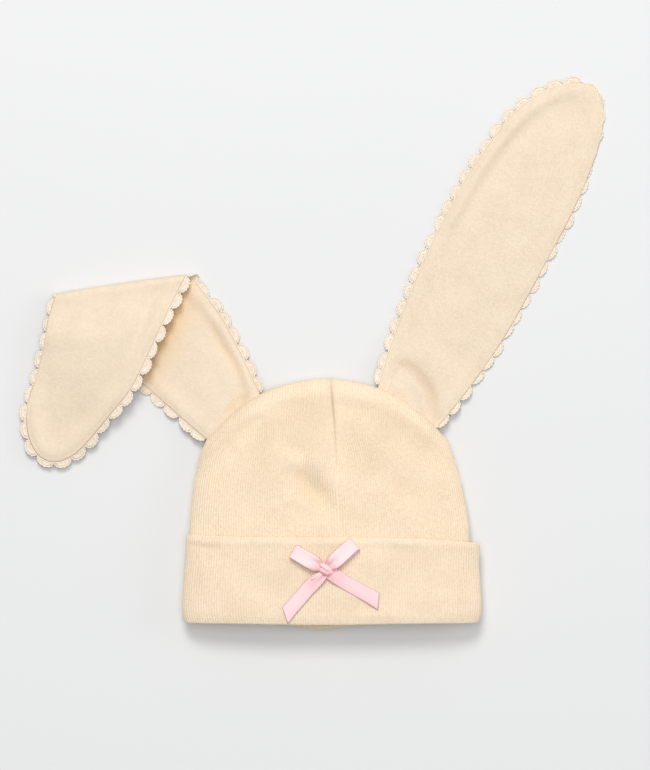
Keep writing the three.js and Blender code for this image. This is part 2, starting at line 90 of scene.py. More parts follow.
# Soft valleys and swells of the cloth: the points of their line, depth (swells are negative) and
# half width.
CROWN_CREASES = [
    ([(-0.5, 125), (0.6, 104), (3, 78)], 0.55, 3.2),
    ([(-30, 96), (-20, 90), (-10, 86)], 1.6, 4.4),
    ([(-22, 82), (-10, 69), (4, 58)], 3.0, 5.5),
    ([(-14, 90), (-5, 80), (5, 68)], -1.4, 5.0),
    ([(-50, 92), (-43, 101), (-36, 110)], 1.7, 4.8),
    ([(-46, 108), (-32, 112), (-16, 112)], 0.9, 4.5),
    ([(6, 113), (14, 111), (26, 106)], 0.9, 5.0),
    ([(26, 76), (36, 70), (48, 62)], 1.0, 6.5),
    ([(-16, 88), (-22, 80), (-30, 66)], -0.7, 5.5),
    ([(-2, 70), (6, 62), (20, 54)], -0.7, 6.0),
    ([(42, 92), (51, 101), (58, 112)], -0.9, 5.0),
    ([(-62, 64), (-56, 80), (-50, 96)], 0.9, 5.5),
    ([(-26, 60), (-8, 56), (14, 57)], 0.7, 4.0),
]


def through(rows, at):
    """A smooth curve through (place, value) rows that never overshoots them: cubic steps whose
    end slopes are the harmonic mean of the rises before and after each row."""
    place, value = np.array(rows, float).T
    rise = np.diff(value) / np.diff(place)
    both = rise[:-1] * rise[1:]
    turn = np.where(both > 0, rise[:-1] + rise[1:], 1.0)
    slope = np.concatenate([rise[:1], np.where(both > 0, 2 * both / turn, 0.0), rise[-1:]])
    at = np.clip(at, place[0], place[-1])
    k = np.clip(np.searchsorted(place, at, side="right") - 1, 0, len(rise) - 1)
    span = place[k + 1] - place[k]
    t = (at - place[k]) / span
    step = value[k] + (value[k + 1] - value[k]) * t * t * (3 - 2 * t)
    return step + span * (slope[k] * t * (1 - t) ** 2 - slope[k + 1] * t * t * (1 - t))


def soft_step(at, start, end):
    """0 before start, 1 after end, and a smooth S between them: 3t^2 - 2t^3."""
    t = np.clip((at - start) / (end - start), 0, 1)
    return t * t * (3 - 2 * t)


def bell(away, spread):
    """A bell curve of a distance: exp(-(away / spread)^2)."""
    return np.exp(-((away / spread) ** 2))


def tube_places(columns):
    """Places round the flattened tube, evenly spaced along its oval, as (place across from -1
    to 1, True in front). The oval is x = sin(t)^(2/5), z = cos(t), and the ring is closed by
    repeating its first place: across the front from left to right, then back behind."""
    turn = np.linspace(0, np.pi / 2, 3001)
    across, height = np.sin(turn) ** (2 / TUBE_POWER), np.cos(turn)
    steps = np.hypot(TUBE_HALF_WIDE * np.diff(across), TUBE_HALF_HIGH * np.diff(height))
    run = np.concatenate([[0], np.cumsum(steps)])
    side = 4 * np.arange(columns + 1) / columns
    signed = np.where(side <= 2, side - 1, 3 - side)
    place = np.sign(signed) * np.interp(np.abs(signed), run / run[-1], across)
    in_front = side <= 2
    in_front[-1] = True
    return place, in_front


def fullness(place):
    """How far the oval stands off its middle at a place across: sqrt(1 - |place|^5)."""
    return np.sqrt(np.clip(1 - np.abs(place) ** TUBE_POWER, 0, 1))


def mouth_edge(x, front):
    """The mouth edge, a straight line with a shallow bell-shaped dip beside its middle."""
    dip = np.where(front, MOUTH_DIP_FRONT, MOUTH_DIP_BEHIND)
    return -dip * bell(x - DIP_X, np.where(front, DIP_SPREAD_FRONT, DIP_SPREAD_BEHIND))


def dome_seam(place):
    """Height of the domed seam at a place across: its rise falls off as |place|^2.3."""
    return SIDE_HEIGHT + DOME_RISE * (1 - np.abs(place) ** DOME_POWER)


def creases(x, y, table):
    """Depth pressed in by a table of creases. Each is a bell across a smooth curve through its
    points, and fades out as a sine towards the curve's ends. Valleys that cross join as the
    fourth root of their summed fourth powers, and so do swells."""
    pressed = np.zeros(np.broadcast(x, y).shape)
    swollen = pressed.copy()
    for points, deep, spread in table:
        stops = np.arange(len(points))
        places = np.linspace(0, stops[-1], 11)
        line = np.stack([through(list(zip(stops, values)), places) for values in zip(*points)], -1)
        away, at = np.full(pressed.shape, 1e9), pressed * 0
        for k, ((from_x, from_y), (run_x, run_y)) in enumerate(zip(line[:-1], np.diff(line, axis=0))):
            near = ((x - from_x) * run_x + (y - from_y) * run_y) / (run_x**2 + run_y**2)
            near = np.clip(near, 0, 1)
            here = np.hypot(x - from_x - near * run_x, y - from_y - near * run_y)
            at = np.where(here < away, k + near, at)
            away = np.minimum(away, here)
        crease = deep * np.sin(np.pi * at / (len(line) - 1)) ** 0.8 * bell(away, spread)
        pressed += np.maximum(crease, 0) ** 4
        swollen += np.maximum(-crease, 0) ** 4
    return pressed**0.25 - swollen**0.25


def slack(x, y, seed, longest, amount):
    """The slack of soft cloth: a sum of eight sine waves in scattered directions, from longest
    down to two fifths of it, that together stay near amount high."""
    scatter = np.random.default_rng(seed)
    total = np.zeros(np.broadcast(x, y).shape)
    for k in range(8):
        heading, start = scatter.uniform(0, 2 * np.pi, 2)
        wave = 2 * np.pi / (longest * (1 - 0.085 * k))
        total += np.sin(wave * (x * np.cos(heading) + y * np.sin(heading)) + start)
    return amount * total / 3


def pull_to_dart(x, y, strength):
    """Ribs lean in to the dart as they rise, and the nearest ones vanish into its seam: the
    distance from the seam shrinks by a pull that grows upwards and dies away sideways."""
    share = np.clip((DART_TOP[1] - y) / (DART_TOP[1] - DART_FOOT[1]), 0, 1)
    seam = DART_TOP[0] + share * (DART_FOOT[0] - DART_TOP[0])
    away = np.abs(x - seam)
    pull = strength * DART_PULL * soft_step(y, 76, DART_TOP[1]) * bell(away, DART_REACH)
    left = away - pull
    pulled = seam + np.sign(x - seam) * (left + np.sqrt(left**2 + 1.4 * away * strength)) / 2
    return pulled, pulled - seam


def along_normal(points, amount, raised):
    """Moves the points of a grid out along the surface's own normal, which is the cross product
    of its steps round the ring and up the rows; only where raised."""
    ring = points.copy()
    ring[:, 1:-1] = points[:, 2:] - points[:, :-2]
    ring[:, 0] = ring[:, -1] = points[:, 1] - points[:, -2]
    rows = np.gradient(points, axis=0)
    if np.allclose(points[0], points[-1]):
        rows[0] = rows[-1] = points[1] - points[-2]
    normal = np.cross(ring, rows)
    size = np.linalg.norm(normal, axis=2, keepdims=True)
    normal /= np.where(size > 1e-9, size, 1)
    return points + normal * (amount * raised)[..., None]


def rib_groove(columns):
    """How far down in the groove between two ribs each column of a ring lies, from 0 to 1."""
    return np.array([1.0, 0.28, 0.0, 0.28])[np.arange(columns) % COLUMNS_PER_RIB]


def stitch_counts(skin):
    """Ribs counted round the ring and courses counted up it, at every point of a skin."""
    ribs = np.arange(skin.shape[1]) / COLUMNS_PER_RIB
    return np.stack(np.broadcast_arrays(ribs, skin[..., 1] / COURSE_HEIGHT), -1)


def sew(name, sheets, finish, weld=0.004):
    """Makes one closed mesh object from grids of points (rows, columns, 3) in millimetres, each
    with its knitting count (rows, columns, 2) as UV, and how deep each point lies in painted light
    and shade: up to 1 for painted shade in a seam or fold, and down to -1 for a painted highlight
    where it stands up to the light and for painted warm shade where light comes through. Points
    closer than weld are made one, which closes rings, seams and tips. A grid's columns crossed
    with its rows point outwards."""
    points, corners, counts, depths, start = [], [], [], [], 0
    for grid, count, deep in sheets:
        rows, columns = grid.shape[:2]
        depths.append(np.broadcast_to(deep, (rows, columns)).ravel())
        first = start + np.arange(rows * columns).reshape(rows, columns)
        quads = np.stack([first[:-1, :-1], first[:-1, 1:], first[1:, 1:], first[1:, :-1]], -1)
        points.append(grid.reshape(-1, 3))
        counts.append(count.reshape(-1, 2))
        corners.append(quads.reshape(-1, 4))
        start += rows * columns
    points = (np.concatenate(points) + MOUTH_MIDDLE) / 1000
    corners = np.concatenate(corners)
    counts = np.concatenate(counts)
    mesh = bpy.data.meshes.new(name)
    mesh.vertices.add(len(points))
    mesh.vertices.foreach_set("co", points.ravel())
    mesh.loops.add(corners.size)
    mesh.loops.foreach_set("vertex_index", corners.ravel())
    mesh.polygons.add(len(corners))
    mesh.polygons.foreach_set("loop_start", np.arange(0, corners.size, 4))
    mesh.update(calc_edges=True)
    stitches = mesh.uv_layers.new(name="stitches")
    stitches.uv.foreach_set("vector", counts[corners.ravel()].astype(np.float32).ravel())
    # deep carries the painted light and shade: painted shade above 0, painted highlight or warm shade
    # below 0.
    deep = mesh.attributes.new("deep", "FLOAT", "POINT")
    deep.data.foreach_set("value", np.concatenate(depths).astype(np.float32))
    work = bmesh.new()
    work.from_mesh(mesh)
    bmesh.ops.remove_doubles(work, verts=work.verts, dist=weld / 1000)
    work.to_mesh(mesh)
    work.free()
    mesh.polygons.foreach_set("use_smooth", np.ones(len(mesh.polygons), bool))
    mesh.materials.append(finish)
    piece = bpy.data.objects.new(name, mesh)
    bpy.context.collection.objects.link(piece)
    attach(piece, "root")
    return piece


def feed(tree, socket, value):
    """Links another node's output to a socket, or sets the socket to a plain value."""
    if isinstance(value, bpy.types.NodeSocket):
        tree.links.new(value, socket)
    else:
        socket.default_value = value


def connect(tree, node, **inputs):
    """Sets or links a node's inputs by name, with _ for a space; returns the node."""
    for name, value in inputs.items():
        feed(tree, node.inputs[name.replace("_", " ")], value)
    return node


def place_node(tree, kind, **inputs):
    """Adds a node to a tree, and sets or links its inputs by name."""
    return connect(tree, tree.nodes.new("ShaderNode" + kind), **inputs)


def add_group(tree, group, **inputs):
    """Puts a node group in a tree, its inputs set or linked by name; returns its outputs."""
    made = tree.nodes.new("ShaderNodeGroup")
    made.node_tree = group
    return connect(tree, made, **inputs).outputs


def bumped(tree, strength, depth, height):
    """The normal of a surface with a fine relief, depth metres deep where its height is 1."""
    return place_node(tree, "Bump", Strength=strength, Distance=depth, Height=height).outputs[0]


def count(tree, operation, *values):
    """One step of arithmetic in a node tree; returns its result socket."""
    step = tree.nodes.new("ShaderNodeMath")
    step.operation = operation
    for socket, value in zip(step.inputs, values):
        feed(tree, socket, value)
    return step.outputs[0]


def blend(tree, share, first, second):
    """Goes from one colour to another as share goes from 0 to 1; returns the colour's socket."""
    mix = place_node(tree, "Mix")
    mix.data_type = "RGBA"
    feed(tree, mix.inputs["Factor"], share)
    for socket, colour in ((mix.inputs[6], first), (mix.inputs[7], second)):
        feed(tree, socket, (*colour, 1) if isinstance(colour, tuple) else colour)
    return mix.outputs[2]


def new_finish(name):
    """A new material: itself, its node tree, its shader, its stitch counts and how deep it lies,
    which is its painted light and shade.
    """
    finish = bpy.data.materials.new(name)
    finish.use_nodes = True
    tree = finish.node_tree
    counts = tree.nodes.new("ShaderNodeUVMap")
    counts.uv_map = "stitches"
    deep = tree.nodes.new("ShaderNodeAttribute")
    deep.attribute_name = "deep"
    return finish, tree, tree.nodes["Principled BSDF"], counts.outputs["UV"], deep.outputs["Fac"]


def group_tree(name, takes, gives):
    """A new shader node group with named sockets; returns the tree, its inputs and outputs."""
    tree = bpy.data.node_groups.new(name, "ShaderNodeTree")
    for label, kind, value in takes:
        socket = tree.interface.new_socket(label, in_out="INPUT", socket_type="NodeSocket" + kind)
        if value is not None:
            socket.default_value = value
    for label, kind in gives:
        tree.interface.new_socket(label, in_out="OUTPUT", socket_type="NodeSocket" + kind)
    return tree, tree.nodes.new("NodeGroupInput"), tree.nodes.new("NodeGroupOutput")


# Knitted loops: every column of knitting is a row of V-shaped stitches. Height is the rounded
# yarn, and Shade is painted shade: it falls from 1 on the yarn to 0.7 between stitches and 0
# between columns, to darken the colour in the gaps.
knit_loops, given, made = group_tree(
    "knit_loops",
    [("Place", "Vector", None), ("Slant", "Float", 1.2), ("Unevenness", "Float", 0.25)],
    [("Height", "Float"), ("Shade", "Float")],
)
wander = place_node(knit_loops, "TexNoise", Vector=given.outputs["Place"], Scale=0.45, Detail=2.0)
drift = count(knit_loops, "SUBTRACT", wander.outputs["Fac"], 0.5)
drift = count(knit_loops, "MULTIPLY", drift, given.outputs["Unevenness"])
split = place_node(knit_loops, "SeparateXYZ", Vector=given.outputs["Place"])
column = count(knit_loops, "FRACT", count(knit_loops, "ADD", split.outputs["X"], drift))
from_middle = count(knit_loops, "ABSOLUTE", count(knit_loops, "SUBTRACT", column, 0.5))
leg = count(knit_loops, "MULTIPLY", from_middle, given.outputs["Slant"])
course = count(knit_loops, "ADD", count(knit_loops, "ADD", split.outputs["Y"], leg), drift)
loop = count(knit_loops, "SINE", count(knit_loops, "MULTIPLY", count(knit_loops, "FRACT", course), 3.1416))
gap = count(knit_loops, "POWER", count(knit_loops, "MULTIPLY", from_middle, 2.0), 2.0)
yarn = count(knit_loops, "SUBTRACT", 1.0, gap)
height = count(knit_loops, "MULTIPLY", yarn, count(knit_loops, "MULTIPLY_ADD", loop, 0.55, 0.45))
# Painted shade in the gaps between stitches and between columns.
shade = count(knit_loops, "MULTIPLY", yarn, count(knit_loops, "MULTIPLY_ADD", loop, 0.3, 0.7))
knit_loops.links.new(height, made.inputs["Height"])
knit_loops.links.new(shade, made.inputs["Shade"])

# Fibre: the soft cloudiness of cotton, from patches a finger wide down to single fibres.
# Cloud runs about 0.5, and Fuzz is a fine grain for height.
cotton_fibre, given, made = group_tree(
    "cotton_fibre",
    [("Patch Scale", "Float", 60.0), ("Grain Scale", "Float", 900.0)],
    [("Cloud", "Float"), ("Fuzz", "Float")],
)
here = cotton_fibre.nodes.new("ShaderNodeTexCoord").outputs["Object"]
patches = place_node(cotton_fibre, "TexNoise", Vector=here, Scale=given.outputs["Patch Scale"], Detail=3.0)
grain = place_node(cotton_fibre, "TexNoise", Vector=here, Scale=given.outputs["Grain Scale"], Detail=4.0)
cloud = count(cotton_fibre, "MULTIPLY_ADD", patches.outputs["Fac"], 1.1, -1.0)
cloud = count(cotton_fibre, "MULTIPLY_ADD", grain.outputs["Fac"], 1.9, cloud)
cotton_fibre.links.new(cloud, made.inputs["Cloud"])
cotton_fibre.links.new(grain.outputs["Fac"], made.inputs["Fuzz"])


def cloth_finish(name, light, dark, seam, painted_warm_shade, loops, fibre, bump, gloss):
    """A knitted cotton finish: loops and fibre set the colour between dark and light, and the
    loops lift a bump; the loops' part of that colour is painted shade in the gaps between them.
    Where deep is above 0 the colour turns towards the seam colour, painted shade in seams and
    folds, and where it is below 0 towards the warm shade colour, painted warm shade in the soft
    hollows that light reaches through the cloth.
    loops is (slant, unevenness), fibre (patch scale, grain scale), bump (strength, depth of a
    stitch in metres, share of fuzz) and gloss (roughness, sheen)."""
    finish, tree, cloth, counts, deep = new_finish(name)
    stitch = add_group(tree, knit_loops, Place=counts, Slant=loops[0], Unevenness=loops[1])
    cotton = add_group(tree, cotton_fibre, Patch_Scale=fibre[0], Grain_Scale=fibre[1])
    # Shade of the stitches is painted shade in their gaps; Cloud is the cotton's own uneven tone.
    tone = count(tree, "MULTIPLY_ADD", stitch["Shade"], 0.36, 0.16)
    tone = count(tree, "MULTIPLY_ADD", cotton["Cloud"], 0.8, tone)
    colour = blend(tree, tone, dark, light)
    # Painted shade towards the seam colour, and painted warm shade where deep is below 0.
    colour = blend(tree, deep, colour, seam)
    colour = blend(tree, count(tree, "MULTIPLY", deep, -1.0), colour, painted_warm_shade)
    strength, depth, fuzz_share = bump
    relief = count(tree, "MULTIPLY_ADD", cotton["Fuzz"], fuzz_share, stitch["Height"])
    connect(
        tree, cloth, Base_Color=colour, Normal=bumped(tree, strength, depth, relief),
        Roughness=count(tree, "MULTIPLY_ADD", cotton["Cloud"], 0.12, gloss[0] - 0.06),
        Sheen_Weight=gloss[1], Sheen_Roughness=0.5, Sheen_Tint=(1.0, 0.93, 0.84, 1),
        Specular_IOR_Level=0.25,
    )
    return finish


rib_knit = cloth_finish(
    "rib_knit",
    light=(0.93, 0.765, 0.575),
    dark=(0.80, 0.615, 0.43),
    # The seam colour is painted shade in seams and folds, the next one painted warm shade in dents.
    seam=(0.62, 0.42, 0.26),
    painted_warm_shade=(0.84, 0.63, 0.40),
    loops=(1.3, 0.3),
    fibre=(55.0, 700.0),
    bump=(0.5, 0.00035, 0.5),
    gloss=(0.92, 0.12),
)

place, front = tube_places(CROWN_RIBS * COLUMNS_PER_RIB)
front = np.broadcast_to(front, (CROWN_ROWS, len(place)))
share = 1 - (1 - np.linspace(0, 1, CROWN_ROWS)[:, None]) ** 1.9


def dart_relief(y, from_seam):
    """The dart, pressed in: a narrow groove with a low roll on its left, and puckers that cross
    it near the top, where the needle drew the cloth together."""
    groove = 0.32 * bell(from_seam, 0.6) - 0.2 * bell(from_seam + 1.5, 1.0)
    puckers = 0.3 * np.sin(y * 2.6 + from_seam) * bell(from_seam, 2.2)
    return groove + puckers * soft_step(y, 113, 119)


def crown_skin(share, inset, front):
    """The crown's skin. Each column runs from rim to dome seam at its place across; the front
    and back stand off the middle by the oval's fullness times sqrt(1 - share^12), so that they
    meet at the seam. Creases are pressed into the front, right through the wall. Below the seam
    runs a soft roll with a valley under it. The lining, where inset is over 0, has no dart."""
    rim = CROWN_RIM + mouth_edge(place * (MOUTH_HALF - inset), front)
    dome = dome_seam(place)
    y = rim + share * (dome - inset - rim)
    x = through(CROWN_LEAN, y) + place * (through(CROWN_HALF_WIDTH, y) - inset)
    middle = through(CROWN_MIDDLE, y)
    bulge = fullness(place) * np.sqrt(np.clip(1 - share**EDGE_POWER, 0, 1))
    top = middle + (through(CROWN_TOP, y) - inset - middle) * bulge
    shown = bulge * soft_step(y, *CUFF_HIDES_TO)
    dents = creases(x, y, CROWN_CREASES)
    hem = 1.2 * bell(dome - y - 19, 9.0) - 1.0 * bell(dome - y - 7, 4.0)
    top = top - shown * (dents + hem + slack(x, y, seed=5, longest=46, amount=0.5))
    # Painted shade on the upper crown below the dome's bright edge and in the dart's groove, and painted
    # warm shade in the dents.
    deep = np.zeros_like(x)
    if inset == 0:
        x, from_seam = pull_to_dart(x, y, np.where(front, 1.0, soft_step(share, 0.86, 1)))
        dart = soft_step(y - DART_FOOT[1], -2, 2) * soft_step(DART_TOP[1] - y, -1.5, 2)
        top = top - shown * dart * dart_relief(y, from_seam)
        painted_upper_shade = 0.2 * soft_step(y, 66, 108) * soft_step(dome - y, 3, 13)
        painted_upper_shade = painted_upper_shade * (1 - 0.8 * front * bell(from_seam, 5))
        deep = painted_upper_shade + 0.2 * dart * front * bell(from_seam, 0.5)
        deep = deep - 0.2 * front * shown * np.clip(dents, 0, 2)
    floor = through(CROWN_BOTTOM, y) + inset
    back = np.maximum(floor, middle - BACK_FULLNESS * (middle - floor) * bulge)
    return np.stack([x, y, np.where(front, top, back)], -1), deep


outer, painted_crown_shade = crown_skin(share, 0, front)
lining_rows = 1 - (1 - np.linspace(1, 0, LINING_ROWS)[:, None]) ** 1.4
inner, no_depth = crown_skin(lining_rows, CROWN_WALL, front[:LINING_ROWS])
straight = np.broadcast_to(place * TUBE_HALF_WIDE, outer.shape[:2])
straight_step = np.abs(np.gradient(straight, axis=1))
crowding = np.abs(np.gradient(outer[..., 0], axis=1)) / np.maximum(straight_step, 1e-6)
crowding = np.where(np.abs(place) < 0.9, np.clip(crowding, 0, 1), 1)
# Painted shade where the dart crowds the ribs together and their relief fades out.
painted_crown_shade = painted_crown_shade + 0.07 * (1 - crowding) * soft_step(outer[..., 1], 80, 96)
below_seam = dome_seam(place) - outer[..., 1]
groove = -RIB_DEPTH * rib_groove(len(place)) * crowding
outer = along_normal(outer, groove, soft_step(below_seam, 0, 11))
skin = np.concatenate([inner, outer])
depths = np.concatenate([no_depth, painted_crown_shade])
crown = sew("crown_knit", [(skin, stitch_counts(skin), depths)], rib_knit)
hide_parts("crown")


# ---------------------------------------------------------------------------------------------
# The cuff is the mouth of the tube turned up: a deep band of the same rib knit outside the
# crown, rounded over at its top edge, with its foot under the crown's rim. Its back layer dips
# past the front one, where its own seam is.
CUFF_HALF = 78.0
CUFF_DEPTH = 45.0
CUFF_HEIGHT = 21.0
CUFF_WALL = 2.2
CUFF_RIBS = 232
RIM_GAP = 0.35
FOLD_PEAK = -25.0
FOLD_DROOP_RIGHT = 3.5
FOLD_RISE_LEFT = 1.2
BACK_LIFT = 4.5
BACK_LIFT_REACH = 22.0
BACK_SEAM_X = -5.2
CUFF_HALF_WIDTH = [(0, 77.4), (8, 78), (22, 77.2), (34, 76.4), (45, 76.8)]
CUFF_SHIFT = [(0, 0), (22, 0), (34, 0.3), (45, 0.6)]

# The section, as height from the mouth edge and depth inside the outer face: up the outer leg,
# over the fold, down inside, under the crown's rim and back round the foot.
CUFF_SECTION = [
    (0.45, 1.3), (1.3, 0.95), (3.0, 0.5), (5.5, 0.2), (12.0, 0.0), (23.0, 0.0), (34.0, 0.0),
    (39.5, 0.0), (42.4, 0.16), (44.3, 0.62), (45.0, 1.25), (44.6, 1.85), (43.4, CUFF_WALL),
    (24.0, CUFF_WALL), (CROWN_RIM - RIM_GAP, CUFF_WALL), (CROWN_RIM - RIM_GAP, 4.2),
    (0.7, 3.8), (0.0, 2.6), (0.12, 1.6),
]

CUFF_CREASES = [
    ([(-80, 43), (-70, 40), (-58, 38)], 1.2, 1.7),
    ([(-80, 38), (-72, 36), (-62, 34)], 0.9, 1.5),
    ([(-73, 36), (-71, 24), (-73, 12)], 1.0, 3.0),
    ([(-48, 24), (-28, 18), (-10, 15)], 0.7, 6.0),
    ([(30, 26), (48, 20), (66, 18)], 0.7, 6.0),
    ([(6, 7), (18, 9), (34, 13)], 0.6, 4.5),
    ([(70, 40), (73, 26), (72, 10)], 0.7, 3.0),
]


def rounded(points, steps):
    """A closed smooth line through points: between each two, the cubic whose ends head along
    the line from the point before to the point after."""
    here = np.array(points, float)
    before, after, beyond = (np.roll(here, k, axis=0) for k in (1, -1, -2))
    t = (np.arange(steps) / steps)[None, :, None]
    here, before, after, beyond = (p[:, None, :] for p in (here, before, after, beyond))
    start, end = (after - before) / 2, (beyond - here) / 2
    limit = np.linalg.norm(after - here, axis=2, keepdims=True)
    start, end = (
        v * np.minimum(1, limit / np.maximum(np.linalg.norm(v, axis=2, keepdims=True), 1e-9))
        for v in (start, end)
    )
    curve = (
        here * (1 + 2 * t) * (1 - t) ** 2 + after * t * t * (3 - 2 * t)
        + start * t * (1 - t) ** 2 - end * t * t * (1 - t)
    )
    return curve.reshape(-1, here.shape[-1])


place, front = tube_places(CUFF_RIBS * COLUMNS_PER_RIB)
section = rounded(CUFF_SECTION, 4)
section = np.concatenate([section, section[:1]])
height, inset = section[:, :1], section[:, 1:]
from_peak = place * CUFF_HALF - FOLD_PEAK
droop = -FOLD_DROOP_RIGHT * (from_peak / (CUFF_HALF - FOLD_PEAK)) ** 4
rise = FOLD_RISE_LEFT * (from_peak / (CUFF_HALF + FOLD_PEAK)) ** 2
fold_edge = CUFF_DEPTH + np.where(from_peak > 0, droop, rise)
edge = mouth_edge(place * CUFF_HALF, front)
leg = (height - CROWN_RIM) * (fold_edge - edge - CROWN_RIM) / (CUFF_DEPTH - CROWN_RIM)
y = np.where(height < CROWN_RIM, edge + height, edge + CROWN_RIM + leg)
x = through(CUFF_SHIFT, height) + place * (through(CUFF_HALF_WIDTH, height) - inset)
outside = inset < 1.0
roll = 0.3 * bell(height - 41.8, 1.7)
slump = 0.2 + creases(x, y, CUFF_CREASES) + slack(x, y, seed=11, longest=52, amount=0.4)
slump = slump * soft_step(height, 1, 8) * soft_step(-height, -44, -38)
middle = CUFF_HEIGHT / 2
top = middle + (middle - inset) * fullness(place) + outside * fullness(place) * (roll - slump)
back = np.maximum(inset, middle - BACK_FULLNESS * (middle - inset) * fullness(place))
back = back + BACK_LIFT * bell(x - DIP_X, BACK_LIFT_REACH) * soft_step(-height, -14, 0)
skin = np.stack([x, y, np.where(front, top, back)], -1)
back_seam = 0.56 * bell(x - BACK_SEAM_X, 1.1) * bell(height - 0.3, 1.6) * ~front
skin = along_normal(skin, -RIB_DEPTH * rib_groove(len(place)) - back_seam, 1.0 * outside)
cuff = sew("cuff_knit", [(skin, stitch_counts(skin), 0.0)], rib_knit)
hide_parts("cuff")


# ---------------------------------------------------------------------------------------------
# The ears are long soft pockets of smooth jersey, sewn round their edge and caught by their
# base in the dome seam. The right one lies straight, and the left one is folded over on itself
# so that its flap crosses its own lower part and sinks towards the table.
EAR_LENGTH = 193.0
EAR_HALF = 28.9
EAR_BASE_HALF = 18.7
EAR_WIDEN_LENGTH = 95.0
EAR_TIP_START = 110.0
EAR_LIFT = 1.3
EAR_BASE_RISE = 4.6
EAR_RISE_LENGTH = 38.0
EAR_TUCK = -1.3
DROP_START = -4.0
DROP_LENGTH = 56.0
DROP_SLANT = 0.5
DROP_FROM_FOLD = 30.0
FLAP_LIFT = 4.2
LIFT_FROM_FOLD = 24.0
FLAP_SINK = 2.6
EAR_COLUMNS = 96
ROWS_STRAIGHT = 210
ROWS_BEFORE_FOLD, ROWS_ROUND_FOLD, ROWS_PAST_FOLD = 84, 22, 108
EDGE_HALF_THICKNESS = 0.62
EDGE_ROUND = 1.1
CUSHION = 0.75
CUSHION_REACH = 12
UNDERSIDE_CUSHION = 0.6
EDGE_ROLL = 0.85
JERSEY_WALE = 0.8
JERSEY_COURSE = 0.7

# Sway moves the middle line towards the ear's left edge and pinch narrows the ear. Ridge is
# how strongly the sewn edge stands up as a soft roll, along the left edge and on the right one.
# Painted glow is painted warm shade where light comes through the cloth into soft dips, in the
# same rows as the creases, and crease warm shade is how much of it every crease gets; painted
# glow below 0 is painted brown shade in a dip that stays dark. Seam is how strong the painted
# shadow along the sewn edge is on the left edge, on the right one and round the tip.
# The lace's rows run from the base up the left edge, round the tip and back down, from 0 to 1:
# shift slides it out from the edge, rumple scatters the curl of its scallops, and curl adds to it.
RIGHT_EAR = {
    "base": (40.0, 112.3),
    "heading": 60.5,
    "sway": [(0, 0), (52, 1.5), (80, 2.9), (120, 3.8), (160, 3.5), (178, 1.9), (193, -0.6)],
    "pinch": [(0, 1), (140, 1), (172, 1.03), (193, 1)],
    "fold": None,
    "creases": [
        ([(31, 135), (42, 129.5), (50, 117), (53, 98)], 2.4, 3.2),
        ([(27, 124), (36, 121), (42, 112), (44, 102)], -1.6, 4.0),
        ([(29, 122), (33, 128), (36, 134)], 0.8, 1.8),
        ([(46, 140), (58, 134), (64, 124)], -0.7, 4.5),
        ([(56, 160), (66, 182), (74, 206)], 0.5, 7.0),
        ([(90, 204), (100, 224), (106, 244)], 0.5, 7.0),
        ([(80, 168), (90, 190), (96, 206)], -0.4, 7.0),
    ],
    "crease_warm_shade": 0.1,
    "painted_glow": [([(31, 137), (43.5, 131), (51.5, 118), (54, 96)], -0.42, 4.2)],
    "ridge": ([(0, 0.5), (70, 0.5), (105, 1.3), (160, 1.7), (193, 1.3)], 0.45),
    "seam": (0.1, 0.35, 0.1),
    "lace_shift": [(0, 0), (0.46, 0), (0.5, -2.2), (0.56, -3.3), (0.61, -2.9), (0.66, -1.6), (1, -1.4)],
    "lace_rumple": [(0, 0.1), (0.04, 0.6), (0.12, 0), (1, 0.1)],
    "lace_curl": [(0, 0), (1, 0)],
}
LEFT_EAR = {
    "base": (-50.4, 107.1),
    "heading": 131.1,
    "sway": [
        (0, 0.7), (26, -1), (45, -2), (65, -2), (92, -1.2), (118, -1.8), (143, -4), (157, -3.4),
        (170, -2.4), (193, -4),
    ],
    "pinch": [
        (0, 0.97), (26, 1), (45, 1.03), (65, 1.02), (92, 1), (118, 0.98), (143, 0.92),
        (157, 0.89), (170, 0.93), (193, 1),
    ],
    "fold": {"x": -111.3, "y": 175.6, "heading": 8.2, "radius": 2.6},
    "creases": [
        ([(-70, 166), (-58, 146), (-50, 133), (-44, 116)], 1.4, 2.6),
        ([(-63, 164), (-52.5, 149), (-45, 136), (-38, 118)], -1.3, 2.6),
        ([(-64, 142), (-56, 130), (-51, 116)], -0.7, 4.0),
        ([(-53, 108), (-50, 113), (-46, 119)], 1.5, 1.2),
        ([(-50, 110), (-46.5, 115.5), (-43, 121)], 1.4, 1.1),
        ([(-57, 107), (-54, 111), (-51, 116)], 0.9, 1.2),
        ([(-74, 190), (-83, 164), (-94, 141), (-110, 108)], 1.2, 6.0),
    ],
    "crease_warm_shade": 0.34,
    "painted_glow": [([(-70, 196), (-81, 166), (-91, 143), (-108, 104)], 0.75, 9.0)],
    "ridge": ([(0, 0.6), (193, 0.6)], 0.9),
    "seam": (0.5, 0.4, 1.0),
    "lace_shift": [(0, 0), (0.24, 0), (0.28, -1.1), (0.4, -0.9), (0.45, 0), (1, 0)],
    "lace_rumple": [
        (0, 0.1), (0.24, 0.1), (0.28, 1), (0.4, 0.8), (0.45, 0.1), (0.9, 0.1), (0.96, 0.9), (1, 0.9),
    ],
    "lace_curl": [(0, 0), (0.36, 0), (0.44, 0.6), (0.6, 0.6), (0.68, 0), (1, 0)],
}
